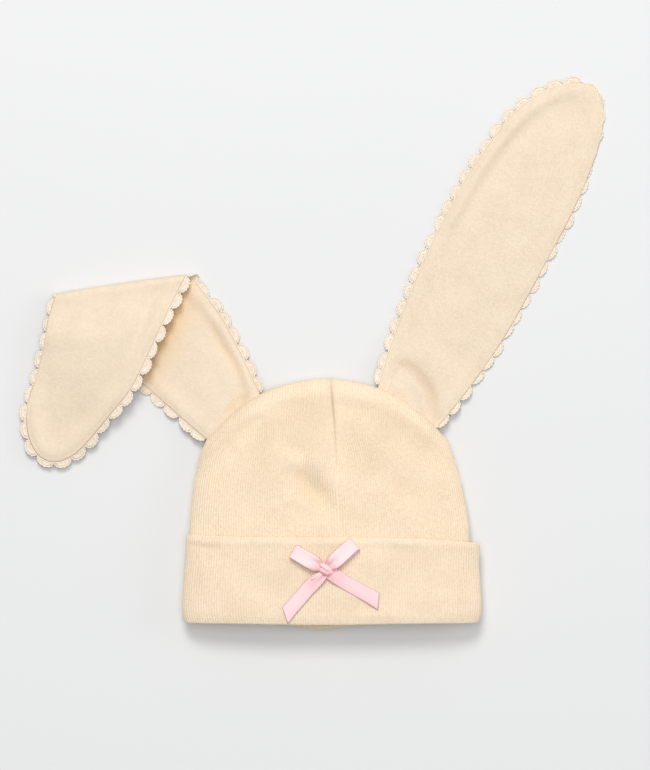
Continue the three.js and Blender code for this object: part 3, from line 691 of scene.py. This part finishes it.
# The flap is clear of the lower part past this line, through one point at a heading.
LOWER_EDGE = {"x": -94.6, "y": 121.7, "heading": 139.0}
FLAP_CREASES = [
    ([(-90, 176), (-96, 162), (-103, 140)], 1.3, 3.6),
    ([(-100, 172), (-106, 158), (-111, 138)], -0.6, 4.0),
    ([(-145, 150), (-150, 134), (-153, 118)], 1.0, 3.0),
    ([(-139, 148), (-144, 132), (-148, 112)], -0.5, 3.5),
    ([(-124, 158), (-117, 140), (-111, 122)], 0.3, 7.5),
    ([(-142, 100), (-131, 107), (-120, 116)], 0.4, 5.0),
]


def ear_half(along):
    """Half width of an ear: it widens from the base, half - k(1 - along/95)^2.1, and ends in a
    full round tip, half * sqrt(1 - t^2.25)."""
    short_of = np.clip(1 - along / EAR_WIDEN_LENGTH, 0, None)
    widen = EAR_HALF - (EAR_HALF - EAR_BASE_HALF) * short_of**2.1
    tip = np.clip((along - EAR_TIP_START) / (EAR_LENGTH - EAR_TIP_START), 0, 1)
    return np.where(along < EAR_TIP_START, widen, EAR_HALF * np.sqrt(1 - tip**2.25))


def ear_across(ear, along, share):
    """Distance from the straight axis at a share, -1 to 1, of the way between the edges."""
    return through(ear["sway"], along) + share * through(ear["pinch"], along) * ear_half(along)


def ear_flat(ear, along, across):
    """The ear laid out flat: its axis leaves the base at its heading, and across is to the
    left of it."""
    turn = np.radians(ear["heading"])
    x = ear["base"][0] + along * np.cos(turn) - across * np.sin(turn)
    y = ear["base"][1] + along * np.sin(turn) + across * np.cos(turn)
    return x, y


def past_line(x, y, line):
    """Distance to the left of a line through one point at a heading."""
    turn = np.radians(line["heading"])
    return (y - line["y"]) * np.cos(turn) - (x - line["x"]) * np.sin(turn)


def ear_point(ear, along, across, over):
    """The ear as it lies: flat cloth, raised near the base; past the fold line it bends round
    a half circle, comes back over itself and stands off a little. Once clear of the lower part
    it sinks towards the table, fast at its left edge and slowly at its right one. over is the
    height over the cloth's middle, so it turns over with the cloth."""
    x, y = ear_flat(ear, along, across)
    rise = EAR_BASE_RISE * (1 - soft_step(along, 0, EAR_RISE_LENGTH))
    lying = np.stack(np.broadcast_arrays(x, y, EAR_LIFT + rise + over), -1)
    if ear["fold"] is None:
        return lying
    radius, turn = ear["fold"]["radius"], np.radians(ear["fold"]["heading"])
    past = past_line(x, y, ear["fold"]) + radius
    bend = np.clip(past / radius, 0, np.pi)
    beyond = np.maximum(0, past - np.pi * radius)
    reach = (radius - over) * np.sin(bend) - beyond
    folded_x = x + (past - reach) * np.sin(turn)
    folded_y = y - (past - reach) * np.cos(turn)
    clear = past_line(folded_x, folded_y, LOWER_EDGE)
    drop = soft_step(clear, DROP_START, DROP_START + DROP_LENGTH - DROP_SLANT * across)
    drop = drop * soft_step(beyond, 0, DROP_FROM_FOLD)
    lift = FLAP_LIFT * soft_step(beyond, 3, LIFT_FROM_FOLD)
    lift = lift * (1 - drop) - FLAP_SINK * drop
    folded_z = EAR_LIFT + radius - (radius - over) * np.cos(bend) + lift
    folded = np.stack(np.broadcast_arrays(folded_x, folded_y, folded_z), -1)
    return np.where((past > 0)[..., None], folded, lying)


def outside_crown(x, y):
    """Distance outside the crown's outline seen from above, near its domed part."""
    side = np.abs(x - through(CROWN_LEAN, y)) - through(CROWN_HALF_WIDTH, y)
    across = np.abs(x - DOME_LEAN) / DOME_HALF_WIDTH
    level = across**DOME_POWER + (y - SIDE_HEIGHT) / DOME_RISE - 1
    slope = DOME_POWER * across ** (DOME_POWER - 1) / DOME_HALF_WIDTH
    return np.where(y < SIDE_HEIGHT, side, level / np.hypot(slope, 1 / DOME_RISE))


def reached(measure, wanted, start, end, share):
    """The distance along at which a rising measure first reaches wanted, for each share, found
    by halving."""
    low, high = np.full_like(share, start), np.full_like(share, end)
    for _ in range(36):
        half = (low + high) / 2
        short = measure(half) < wanted
        low, high = np.where(short, half, low), np.where(short, high, half)
    return (low + high) / 2


def ear_start(ear, share, outside):
    """Where an ear's cloth begins, at a distance outside the crown's seam."""
    def away(along):
        return outside_crown(*ear_flat(ear, along, ear_across(ear, along, share)))
    return reached(away, outside, -14.0, 40.0, share)


def ear_rows(ear, share):
    """Rows along the ear for each share: even from the base, close round the fold, and closer
    and closer towards the tip."""
    start = ear_start(ear, share, EAR_TUCK)

    def steps(first, last, rows, power):
        t = (np.arange(1, rows + 1) / rows)[:, None]
        return first + (last - first) * (1 - (1 - t) ** power)

    if ear["fold"] is None:
        return np.concatenate([start[None], steps(start, EAR_LENGTH, ROWS_STRAIGHT, 1.7)])
    radius = ear["fold"]["radius"]

    def past(along):
        x, y = ear_flat(ear, along, ear_across(ear, along, share))
        return past_line(x, y, ear["fold"]) + radius

    turned = reached(past, 0.0, 50.0, 160.0, share)
    back = reached(past, np.pi * radius, 50.0, 160.0, share)
    return np.concatenate([
        start[None],
        steps(start, turned, ROWS_BEFORE_FOLD, 1),
        steps(turned, back, ROWS_ROUND_FOLD, 1),
        steps(back, EAR_LENGTH, ROWS_PAST_FOLD, 1.8),
    ])


def from_edge(along, share):
    """Distance in from the sewn edge: half (1 - share^2) / 2 over the edge's own slant."""
    taper = (ear_half(along + 0.2) - ear_half(along - 0.2)) / 0.4
    taper = np.where(along > EAR_LENGTH - 0.25, -200.0, taper)
    inward = ear_half(along) * (1 - share**2) / 2 / np.sqrt(1 + taper**2)
    return np.where(along >= EAR_LENGTH - 1e-6, 0, inward)


def painted_seam_shadow(ear, along, share):
    """The thin line of painted warm shadow where the cloth turns in to its edge seam, as strong on
    the left edge, on the right one and round the tip as the ear's seam row says."""
    left, right, tip = ear["seam"]
    strength = np.where(share > 0, left, right)
    strength = strength + (tip - strength) * soft_step(along, 125, 165)
    return strength * bell(from_edge(along, share), 0.5)


def ear_relief(ear, along, share, upper):
    """Half thickness of the pocket at a point. With e the distance in from the sewn edge, it is
    a rounded edge, a soft roll 4 mm in, a valley 9 mm in and a low cushion in the middle."""
    e = from_edge(along, share)
    edge = EDGE_HALF_THICKNESS * np.sqrt(1 - (1 - np.clip(e / EDGE_ROUND, 0, 1)) ** 2)
    cushion = CUSHION * soft_step(e, 0, CUSHION_REACH)
    left, right = ear["ridge"]
    ridge = right + (through(left, along) - right) * soft_step(share, -0.3, 0.3)
    ridge = np.maximum(ridge, 1.1 * soft_step(along, 150, 180))
    roll = bell(e - 4.0, 2.6) - 0.9 * bell(e - 8.6, 2.9)
    inside = soft_step(e, 0, 3)
    x, y = ear_flat(ear, along, ear_across(ear, along, share))
    if not upper:
        return edge + UNDERSIDE_CUSHION * cushion
    pressed = creases(x, y, ear["creases"]) * inside
    waves = slack(x, y, seed=23, longest=40, amount=0.22) * inside
    face = edge + cushion + EDGE_ROLL * ridge * roll * inside - pressed - waves
    return np.maximum(face, -0.4)


def flap_relief(ear, along, share):
    """The flap shows the ear's other face: the same pocket, with the flap's own dents."""
    x, y, _ = np.moveaxis(ear_point(ear, along, ear_across(ear, along, share), 0.0), -1, 0)
    return ear_relief(ear, along, share, True) - creases(x, y, FLAP_CREASES) * (1 - share**4)


jersey = cloth_finish(
    "jersey",
    light=(0.87, 0.725, 0.56),
    dark=(0.77, 0.625, 0.465),
    # The seam colour is painted shadow along the sewn edges and creases, the next one painted warm shade.
    seam=(0.50, 0.31, 0.17),
    painted_warm_shade=(0.84, 0.60, 0.36),
    loops=(1.1, 0.5),
    fibre=(90.0, 620.0),
    bump=(0.5, 0.0003, 1.6),
    gloss=(0.9, 0.15),
)


def ear_pocket(name, ear):
    """One ear as a closed pocket: an upper and a lower grid over share and along, meeting at
    the sewn edge and the tip, and open only inside the crown's seam, where a strip closes it."""
    share = np.sin(np.linspace(-1, 1, EAR_COLUMNS + 1) * np.pi / 2)
    along = ear_rows(ear, share)
    across = ear_across(ear, along, share)
    share = np.broadcast_to(share, along.shape)
    above = ear_relief(ear, along, share, True)
    below = ear_relief(ear, along, share, False)
    if ear["fold"] is not None:
        x, y = ear_flat(ear, along, across)
        turned = soft_step(past_line(x, y, ear["fold"]), 0, 8)
        below = below + (flap_relief(ear, along, share) - below) * turned
        above = above + (ear_relief(ear, along, share, False) - above) * turned
    face = ear_point(ear, along, across, above)
    back = ear_point(ear, along, across, -below)
    counts = np.stack([across / JERSEY_WALE, along / JERSEY_COURSE], -1)
    x, y = ear_flat(ear, along, across)
    # Painted warm shade in the creases and under the flap, and painted brown shade where glow is below 0.
    painted_warm_shade = ear["crease_warm_shade"] * np.clip(creases(x, y, ear["creases"]), 0, 1.5)
    painted_warm_shade = painted_warm_shade + creases(x, y, ear["painted_glow"])
    painted_warm_shade = painted_warm_shade * soft_step(from_edge(along, share), 0, 3)
    if ear["fold"] is not None:
        painted_warm_shade = painted_warm_shade * (1 - turned)
    end = np.stack([back[0], face[0]])
    end_counts = np.stack([counts[0], counts[0]])
    sheets = [
        (face[:, ::-1], counts[:, ::-1], (painted_seam_shadow(ear, along, share) - painted_warm_shade)[:, ::-1]),
        (back, counts, painted_seam_shadow(ear, along, share)),
        (end[:, ::-1], end_counts[:, ::-1], 0.0),
    ]
    return sew(name, sheets, jersey)


ear_right = ear_pocket("ear_right_jersey", RIGHT_EAR)
ear_left = ear_pocket("ear_left_jersey", LEFT_EAR)
for ear, node in ((ear_right, "ear_right"), (ear_left, "ear_left")):
    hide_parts(node)


# ---------------------------------------------------------------------------------------------
# The lace edging is a narrow crocheted cotton strip caught in each ear's edge seam. A header
# thread runs along the edge, and each scallop is a fan: a small ring, spokes, an inner arc that
# closes a fine web, and a corded rim with little knots along it. The web is a thin sheet in the
# colour of painted shade, filling the openings between the threads.
SCALLOPS = 43
LACE_START = 0.25
SCALLOP_DEPTH = 3.75
PICOTS = 7
LACE_SAG = 0.25
HEADER_WIDTH = 0.62
RIM_WIDTH = 0.52
PICOT_SWELL = 0.38
ARC_WIDTH = 0.48
RING_WIDTH = 0.5
SPOKE_WIDTH = 0.46
SPOKE_TURNS = [4, 19, 37, 55, 72.5, 90, 107.5, 125, 143, 161, 176]
WEB_HALF_THICKNESS = 0.08
# How far the web is turned to the colour of painted shade.
WEB_PAINTED_SHADE = 0.48
TWIST_LENGTH = 0.8
LEAN_SPREAD, SIZE_SPREAD, CURL_SPREAD, RUMPLE_SPREAD = 0.2, 0.07, 0.25, 0.9

lace_cotton, tree, cloth, counts, deep = new_finish("lace_cotton")
split = place_node(tree, "SeparateXYZ", Vector=counts)
ply = count(tree, "ADD", split.outputs["X"], split.outputs["Y"])
twist = count(tree, "SINE", count(tree, "MULTIPLY", ply, 6.2832))
cotton = add_group(tree, cotton_fibre, Patch_Scale=240.0, Grain_Scale=2400.0)
# The twist is painted shade in the grooves between the plies; Cloud is the cotton's own uneven tone.
tone = count(tree, "MULTIPLY_ADD", twist, 0.14, count(tree, "MULTIPLY", cotton["Cloud"], 1.1))
colour = blend(tree, tone, (0.86, 0.74, 0.60), (0.97, 0.88, 0.77))
# Painted shade colour, for the web between the threads.
colour = blend(tree, deep, colour, (0.66, 0.50, 0.36))
relief = count(tree, "MULTIPLY_ADD", twist, 0.5, cotton["Fuzz"])
connect(
    tree, cloth, Base_Color=colour, Normal=bumped(tree, 0.5, 0.0001, relief), Roughness=0.85,
    Sheen_Weight=0.15, Specular_IOR_Level=0.3,
)


def edge_line(ear):
    """The sewn edge laid out flat, from the base up the left edge, round the tip and down the
    right edge: along, across and length run, at many even places."""
    t = np.sin(np.linspace(0, 1, 400) * np.pi / 2)
    sides = []
    for side in (1.0, -1.0):
        start = ear_start(ear, np.array([side]), 0.35)[0]
        along = start + (EAR_LENGTH - start) * t
        sides.append(np.stack([along, ear_across(ear, along, side)]))
    line = np.concatenate([sides[0], sides[1][:, ::-1][:, 1:]], axis=1)
    run = np.concatenate([[0], np.cumsum(np.hypot(*np.diff(line, axis=1)))])
    return line, run


def lace_place(ear, line, run, spot):
    """Where a spot of the lace lies: spot holds the distance along the edge, the distance out
    from it and the height over the cloth's middle; the edge is followed square to itself."""
    s, out, over = np.moveaxis(spot, -1, 0)

    def at(where):
        return np.array([np.interp(where, run, line[0]), np.interp(where, run, line[1])])

    s = np.clip(s, 0, run[-1])
    step = at(np.minimum(s + 1.5, run[-1])) - at(np.maximum(s - 1.5, 0))
    step /= np.hypot(*step)
    along, across = at(s)
    return ear_point(ear, along - out * step[1], across + out * step[0], over)


def thread(ear, line, run, spots, width, sides):
    """Crochet threads as round tubes: spots is (threads, points, 3) in lace measures. A ring is
    carried along each thread, square to it and to the cloth's own height, and shrinks to a
    point at both ends."""
    centre = lace_place(ear, line, run, spots)
    lifted = lace_place(ear, line, run, spots + [0, 0, 0.4])
    up = lifted - centre
    ahead = np.gradient(centre, axis=1)
    side = np.cross(ahead, up)
    side /= np.linalg.norm(side, axis=2, keepdims=True)
    up = np.cross(side, ahead)
    up /= np.linalg.norm(up, axis=2, keepdims=True)
    turn = np.linspace(0, 2 * np.pi, sides + 1)
    size = np.broadcast_to(np.asarray(width) / 2, centre.shape[1:2]).copy()
    size[[0, -1]] = 0.0
    ring = (
        side[:, :, None] * np.cos(turn)[None, None, :, None]
        + up[:, :, None] * np.sin(turn)[None, None, :, None]
    )
    tube = centre[:, :, None] + ring * size[None, :, None, None]
    length = np.linalg.norm(np.diff(centre, axis=1, prepend=centre[:, :1]), axis=2).cumsum(axis=1)
    around = np.broadcast_to(turn / (2 * np.pi), tube.shape[:3])
    counts = np.stack([around, np.broadcast_to(length[:, :, None] / TWIST_LENGTH, tube.shape[:3])], -1)
    return [(tube[k, :, ::-1], counts[k, :, ::-1], 0.0) for k in range(len(tube))]


def lace_edging(name, ear):
    """The whole edging: header threads follow the edge, and every fan is laid out once about
    its own middle, then repeated along the edge."""
    line, run = edge_line(ear)
    pitch = run[-1] / SCALLOPS
    middles = (np.arange(SCALLOPS) + 0.5) * pitch
    scatter = np.random.default_rng(3)
    lean = scatter.normal(0, LEAN_SPREAD, SCALLOPS)
    size = 1 + scatter.normal(0, SIZE_SPREAD, SCALLOPS)
    curl = scatter.normal(0, CURL_SPREAD, SCALLOPS)
    shift = through(ear["lace_shift"], middles / run[-1])
    rumple = through(ear["lace_rumple"], middles / run[-1])
    curl = curl + rumple * scatter.normal(0, RUMPLE_SPREAD, SCALLOPS)
    curl = curl + through(ear["lace_curl"], middles / run[-1])

    def fan(s, out, over):
        s, out, over = np.broadcast_arrays(s, out, over)
        shape = np.stack([s, out, over], -1)[None].repeat(SCALLOPS, 0)
        place, leans, sizes, curls, shifts = (
            row.reshape(-1, *[1] * s.ndim) for row in (middles, lean, size, curl, shift)
        )
        shape[..., 1] *= sizes
        shape[..., 0] += place + leans * shape[..., 1]
        shape[..., 2] += curls * shape[..., 1] / SCALLOP_DEPTH - LACE_SAG
        shape[..., 1] += shifts - 0.3 * np.abs(curls)
        return shape

    parts = []

    def crochet(spots, width, sides=5):
        parts.extend(thread(ear, line, run, spots, width, sides))

    s = np.linspace(0, run[-1], SCALLOPS * 6 + 1)
    header = LACE_START + 0.1 * np.sin(s * 2 * np.pi / pitch * 3)
    header = header + through(ear["lace_shift"], s / run[-1])
    crochet(np.stack([s, header, 0 * s - 0.2], -1)[None], HEADER_WIDTH, 6)
    half = pitch / 2
    t = np.linspace(0, np.pi, 36)
    picot = 0.5 - 0.5 * np.cos(t * PICOTS * 2)
    rim_out = 0.5 + (SCALLOP_DEPTH - 0.85) * np.sin(t) ** 0.85 + 0.3 * picot * np.sin(t)
    rim = fan(-(half - 0.6 + 0.15 * picot) * np.cos(t), rim_out, 0.1)
    crochet(rim, RIM_WIDTH + PICOT_SWELL * picot, 6)

    # The web fills the fan as a thin closed leaf, whose outline is hidden in the rim. It is painted
    # shade, so the openings between the threads read as shadow.
    reach = np.array([0, 0.3, 0.92, 1])[:, None]
    turn = np.linspace(0, np.pi, 13)
    web_s = -(half - 0.6) * np.cos(turn) * reach
    web_out = 0.1 + (SCALLOP_DEPTH - 0.4) * np.sin(turn) ** 0.85 * reach
    puff = np.clip(np.sin(np.pi * reach), 0, 1) ** 0.5 * np.clip(np.sin(turn), 0, 1) ** 0.4
    flat = np.zeros((*web_s.shape, 2))
    for lift, ahead in ((WEB_HALF_THICKNESS, -1), (-WEB_HALF_THICKNESS, 1)):
        leaves = lace_place(ear, line, run, fan(web_s, web_out, lift * puff))
        parts += [(leaf[:, ::ahead], flat, WEB_PAINTED_SHADE) for leaf in leaves]

    t = np.linspace(0, np.pi, 11)
    arc_out = 0.9 + (SCALLOP_DEPTH - 2.2) * np.sin(t) ** 0.75
    crochet(fan(-(half - 1.6) * np.cos(t), arc_out, 0.0), ARC_WIDTH)
    t = np.linspace(0, 2 * np.pi, 11)
    crochet(fan(0.6 * np.sin(t), 1.35 - 0.5 * np.cos(t), 0.05), RING_WIDTH)
    reach = np.linspace(0, 1, 4)
    for turn in np.radians(SPOKE_TURNS):
        tip_s = (half - 0.7) * np.cos(turn)
        tip_out = 0.7 + (SCALLOP_DEPTH - 1.2) * np.sin(turn) ** 0.85
        root_s, root_out = 0.55 * np.cos(turn), 1.3 + 0.45 * np.sin(turn)
        spoke = fan(root_s + (tip_s - root_s) * reach, root_out + (tip_out - root_out) * reach, 0.0)
        crochet(spoke, SPOKE_WIDTH)
    return sew(name, parts, lace_cotton, weld=0.0005)


lace_right = lace_edging("lace_right_thread", RIGHT_EAR)
lace_left = lace_edging("lace_left_thread", LEFT_EAR)
for lace, node in ((lace_right, "lace_right"), (lace_left, "lace_left")):
    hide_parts(node)


# ---------------------------------------------------------------------------------------------
# The bow is one length of narrow pink satin ribbon tied flat: two loops, two tails cut at a
# slant, and the knot, soft rolls drawn tight round the middle. It is sewn to the cuff there.
RIBBON_WIDTH = 7.5
RIBBON_THICKNESS = 0.35
PLEATS_OPEN_IN = 1.6
RIBBON_CUP = 0.22
LOOP_ROLL = 1.25
BOW_X, BOW_Y, BOW_FLOOR = -3.6, 28.1, CUFF_HEIGHT + 0.35

satin_ribbon, tree, cloth, counts, deep = new_finish("satin_ribbon")
stretch = place_node(tree, "Mapping", Vector=counts, Scale=(9.0, 0.6, 1.0))
streaks = place_node(tree, "TexNoise", Vector=stretch.outputs["Vector"], Scale=4.0, Detail=3.0)
split = place_node(tree, "SeparateXYZ", Vector=counts)
from_middle = count(tree, "ABSOLUTE", split.outputs["X"])
# Lighter along both edges: partly the woven selvedge, partly a painted highlight on the edges.
selvedge_and_sheen = count(tree, "GREATER_THAN", from_middle, 0.46)
colour = blend(tree, streaks.outputs["Fac"], (0.94, 0.57, 0.59), (0.97, 0.69, 0.705))
colour = blend(tree, count(tree, "MULTIPLY", selvedge_and_sheen, 0.6), colour, (0.98, 0.74, 0.75))
# Painted shade towards deep pink in folds and pleats, and painted highlight towards pale pink where deep
# is below 0.
colour = blend(tree, deep, colour, (0.90, 0.34, 0.40))
colour = blend(tree, count(tree, "MULTIPLY", deep, -1.0), colour, (0.99, 0.85, 0.86))
weft = count(tree, "SINE", count(tree, "MULTIPLY", split.outputs["Y"], 160.0))
relief = count(tree, "MULTIPLY_ADD", weft, 0.15, streaks.outputs["Fac"])
relief = count(tree, "MULTIPLY_ADD", selvedge_and_sheen, 0.6, relief)
connect(
    tree, cloth, Base_Color=colour, Normal=bumped(tree, 0.25, 0.0001, relief),
    Roughness=count(tree, "MULTIPLY_ADD", streaks.outputs["Fac"], 0.15, 0.3),
    Sheen_Weight=0.3, Sheen_Roughness=0.3, Sheen_Tint=(1.0, 0.85, 0.88, 1),
    Specular_IOR_Level=0.6,
)

# Stops along a tail: x, y from the knot, lift, heading of the line across it, and width.
LEFT_TAIL = [
    (-0.4, -1.4, 1.3, -14, 4.2), (-2.8, -3.8, 1.4, -28, 6.6), (-5.6, -6.6, 0.9, -40, 7.4),
    (-8.8, -9.9, 0.2, -46, 7.5), (-12.8, -14.6, 0.0, -47, 7.5), (-17.0, -19.4, 0.0, -50, 7.6),
    (-20.8, -23.9, 0.0, -72, 8.8),
]
RIGHT_TAIL = [
    (1.0, -0.8, 1.4, 48, 5.0), (3.6, -2.2, 1.4, 54, 7.0), (6.6, -4.2, 0.9, 58, 7.5),
    (11.0, -7.0, 0.2, 60, 7.5), (17.0, -10.4, 0.0, 63, 7.5), (22.4, -13.4, 0.0, 66, 7.6),
    (27.8, -16.5, 0.0, 86, 9.0),
]


def ribbon(name, stops, folds, tone, points=72, threads=18):
    """A flat ribbon through its stops: a smooth line, carried straight across at each stop's
    heading. folds is (depth, number) of lengthwise pleats near the knot, that open out along
    the ribbon; a depth below 0 pleats both ends, as on a loop. The two faces are a ribbon's
    thickness apart and meet at the edges. tone is how deep its colour is away from the knot, as
    painted shade, and below 0 a painted highlight where it stands up to the light. The pleats
    near the knot carry painted shade in their folds."""
    stops = np.array(stops, float)
    at = np.linspace(0, len(stops) - 1, points)
    x, y, lift, heading, width = (
        through(np.stack([np.arange(len(stops)), column], -1), at) for column in stops.T
    )
    middle = np.stack([x, y, lift], -1) + [BOW_X, BOW_Y, BOW_FLOOR]
    turn = np.radians(heading)
    across = np.stack([np.cos(turn), np.sin(turn), 0 * turn], -1)
    ahead = np.gradient(middle, axis=0)
    normal = np.cross(ahead, across)
    normal /= np.linalg.norm(normal, axis=1, keepdims=True)
    w = np.linspace(-0.5, 0.5, threads + 1)
    depth, number = folds
    near = np.minimum(at, len(stops) - 1 - at) if depth < 0 else at
    open_out = bell(near, PLEATS_OPEN_IN)[:, None]
    pleat = abs(depth) * open_out * np.cos(2 * np.pi * number * w + 0.6)
    cup = RIBBON_CUP * (1 - 4 * w**2) * (1 - open_out)
    edge = RIBBON_THICKNESS / 2 * np.sqrt(np.clip(1 - (2 * np.abs(w)) ** 6, 0, 1))
    flat = middle[:, None] + across[:, None] * (w * width[:, None])[..., None]
    ends = np.ones(points)
    ends[[0, -1]] = 0.0
    over = normal[:, None] * (pleat + cup)[..., None]
    half = normal[:, None] * (edge * ends[:, None])[..., None]
    length = np.linalg.norm(np.diff(middle, axis=0, prepend=middle[:1]), axis=1).cumsum()
    counts = np.stack(np.broadcast_arrays(w, length[:, None] / RIBBON_WIDTH), -1)
    face, back = flat + over + half, flat + over - half
    # Painted shade in the pleats' folds near the knot, and the painted tone away from it.
    deep = tone * (1 - open_out) + np.clip(open_out * (0.3 - 0.5 * pleat / abs(depth)), 0, 1)
    if np.cross(across[0], ahead[0])[2] > 0:
        sheets = [(back[:, ::-1], counts[:, ::-1], deep[:, ::-1]), (face, counts, deep)]
    else:
        sheets = [(back, counts, deep), (face[:, ::-1], counts[:, ::-1], deep[:, ::-1])]
    return sew(name, sheets, satin_ribbon, weld=0.001)


def loop_stops(heading, reach, slip):
    """A loop: out along the cuff, round a small roll at its end, and back on top to the knot.
    The layer below lies slip to the left of the one on top."""
    turn = np.radians(heading)
    roll = LOOP_ROLL
    bend = np.linspace(-np.pi / 2, np.pi / 2, 7)
    out = [2.0, 5.0, 8.5, 12.5, *(reach - roll + roll * np.cos(bend)), 12.5, 9.0, 5.6, 2.2]
    lift = [1.0, 0.8, 0.6, 0.5, *(0.5 + roll + roll * np.sin(bend)), 3.3, 3.5, 3.4, 2.4]
    width = [4.2, 6.0, 7.3, 7.5, *([7.5] * 7), 7.8, 7.9, 7.6, 5.0]
    aside = [0, 0.5 * slip, slip, slip, *(slip * np.linspace(0.9, 0, 7)), 0, 0, 0, 0]
    return [
        (o * np.cos(turn) - a * np.sin(turn), o * np.sin(turn) + a * np.cos(turn), z, heading + 90, w)
        for o, a, z, w in zip(out, aside, lift, width)
    ]


# The number after the folds is each ribbon's painted tone: painted shade above 0, painted highlight below.
bow = [
    ribbon("bow_tail_left_satin", LEFT_TAIL, (0.5, 2.0), 0.03),
    ribbon("bow_tail_right_satin", RIGHT_TAIL, (0.4, 1.5), 0.12),
    ribbon("bow_loop_left_satin", loop_stops(150, 19.4, 0.0), (-0.5, 1.5), -0.2, points=120),
    ribbon("bow_loop_right_satin", loop_stops(42, 20.6, -1.0), (-0.5, 1.5), -0.2, points=120),
]

# Rolls of the knot: middle from the knot's own, height, heading, half length, half width, half
# height, and tone at the foot and at the crest: painted shade above 0, painted highlight below.
KNOT_ROLLS = [
    (0.4, 1.2, 2.6, -33, 3.8, 1.7, 1.3, 0.7, -0.12),
    (-0.5, -0.9, 2.3, -30, 3.3, 1.5, 1.3, 1.0, 0.45),
    (1.9, -0.3, 2.2, -42, 2.6, 1.6, 1.3, 0.6, -0.05),
    (-4.2, -3.0, 1.5, 214, 3.9, 0.85, 0.6, 0.6, -0.35),
]


def knot_roll(x, y, z, heading, long, wide, tall, foot, crest):
    """One soft roll of ribbon: an ellipsoid with full ends, slightly fluted along its length,
    whose painted light and shade goes from its foot to its crest as the sine of the turn round it."""
    slope, turn = np.linspace(-np.pi / 2, np.pi / 2, 25), np.linspace(0, 2 * np.pi, 41)
    slope, turn = np.meshgrid(slope, turn, indexing="ij")
    size = np.cos(slope) ** 0.6
    size[[0, -1]] = 0
    flute = 1 - 0.05 * np.cos(turn * 5 + 1.5 * slope) * np.cos(slope)
    out, over = long * np.sin(slope), wide * size * flute * np.cos(turn)
    lie = np.radians(heading)
    skin_x = BOW_X + x + out * np.cos(lie) - over * np.sin(lie)
    skin_y = BOW_Y + y + out * np.sin(lie) + over * np.cos(lie)
    skin_z = BOW_FLOOR + z + tall * size * flute * np.sin(turn)
    counts = np.stack([turn / (2 * np.pi) - 0.5, slope * 0.5], -1)
    # Painted light and shade round the roll, from the foot's tone to the crest's.
    deep = foot + (crest - foot) * np.clip(np.sin(turn), 0, 1) * np.cos(slope) ** 0.5
    return np.stack([skin_x, skin_y, skin_z], -1), counts, deep


knot = [knot_roll(*row) for row in KNOT_ROLLS]
bow.append(sew("bow_knot_satin", knot, satin_ribbon, weld=0.001))
BOW_NODES = ("bow_tail_left", "bow_tail_right", "bow_loop_left", "bow_loop_right", "bow_knot")
for piece, node in zip(bow, BOW_NODES):
    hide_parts(node)


# ---------------------------------------------------------------------------------------------
# The hat lies on a plain pale table, seen from straight above through a long lens. One soft
# light stands beyond the ears, a larger one hangs overhead and a weak one stands on the right,
# and an even pale surround fills the shadows.
TABLE_HALF = 3.0
CAMERA_HEIGHT = 2.6
VIEW_HEIGHT = 0.4004
HAT_MIDDLE_HEIGHT = 0.012
SENSOR = 36
VIEW_MIDDLE = (-3.64, 123.76)

table = bpy.data.meshes.new("table")
corners = [(x * TABLE_HALF, y * TABLE_HALF, 0) for x, y in ((-1, -1), (1, -1), (1, 1), (-1, 1))]
table.from_pydata(corners, [], [(0, 1, 2, 3)])
floor = bpy.data.objects.new("floor", table)
bpy.context.collection.objects.link(floor)
pale = bpy.data.materials.new("pale_table")
pale.use_nodes = True
connect(
    pale.node_tree, pale.node_tree.nodes["Principled BSDF"],
    Base_Color=(0.765, 0.766, 0.768, 1), Roughness=0.9, Specular_IOR_Level=0.1,
)
table.materials.append(pale)

surround = bpy.data.worlds.new("surround")
surround.use_nodes = True
sky = surround.node_tree.nodes["Background"]
connect(surround.node_tree, sky, Color=(0.95, 0.98, 1.0, 1), Strength=0.32)
bpy.context.scene.world = surround


def soft_light(name, place, size, watts, colour):
    """A round soft light at a place, aimed at the middle of the hat."""
    light = bpy.data.lights.new(name, "AREA")
    light.shape = "DISK"
    light.size = size
    light.energy = watts
    light.color = colour
    lamp = bpy.data.objects.new(name, light)
    lamp.location = place
    lamp.rotation_mode = "QUATERNION"
    lamp.rotation_quaternion = (-lamp.location).to_track_quat("-Z", "Y")
    bpy.context.collection.objects.link(lamp)


soft_light("softbox", (-0.17, 1.25, 1.9), 0.9, 26.5, (1.0, 0.985, 0.965))
soft_light("overhead", (0.0, 0.1, 4.0), 2.6, 63.0, (1.0, 1.0, 1.0))
soft_light("side_fill", (2.2, 0.3, 1.1), 1.2, 7.0, (1.0, 1.0, 1.0))

lens = bpy.data.cameras.new("camera")
lens.sensor_width = SENSOR
lens.lens = SENSOR * (CAMERA_HEIGHT - HAT_MIDDLE_HEIGHT) / VIEW_HEIGHT
lens.clip_end = 20
camera = bpy.data.objects.new("camera", lens)
camera.location = (*(MOUTH_MIDDLE[:2] + VIEW_MIDDLE) / 1000, CAMERA_HEIGHT)
bpy.context.collection.objects.link(camera)
bpy.context.scene.camera = camera
bpy.context.scene.view_settings.view_transform = "Standard"
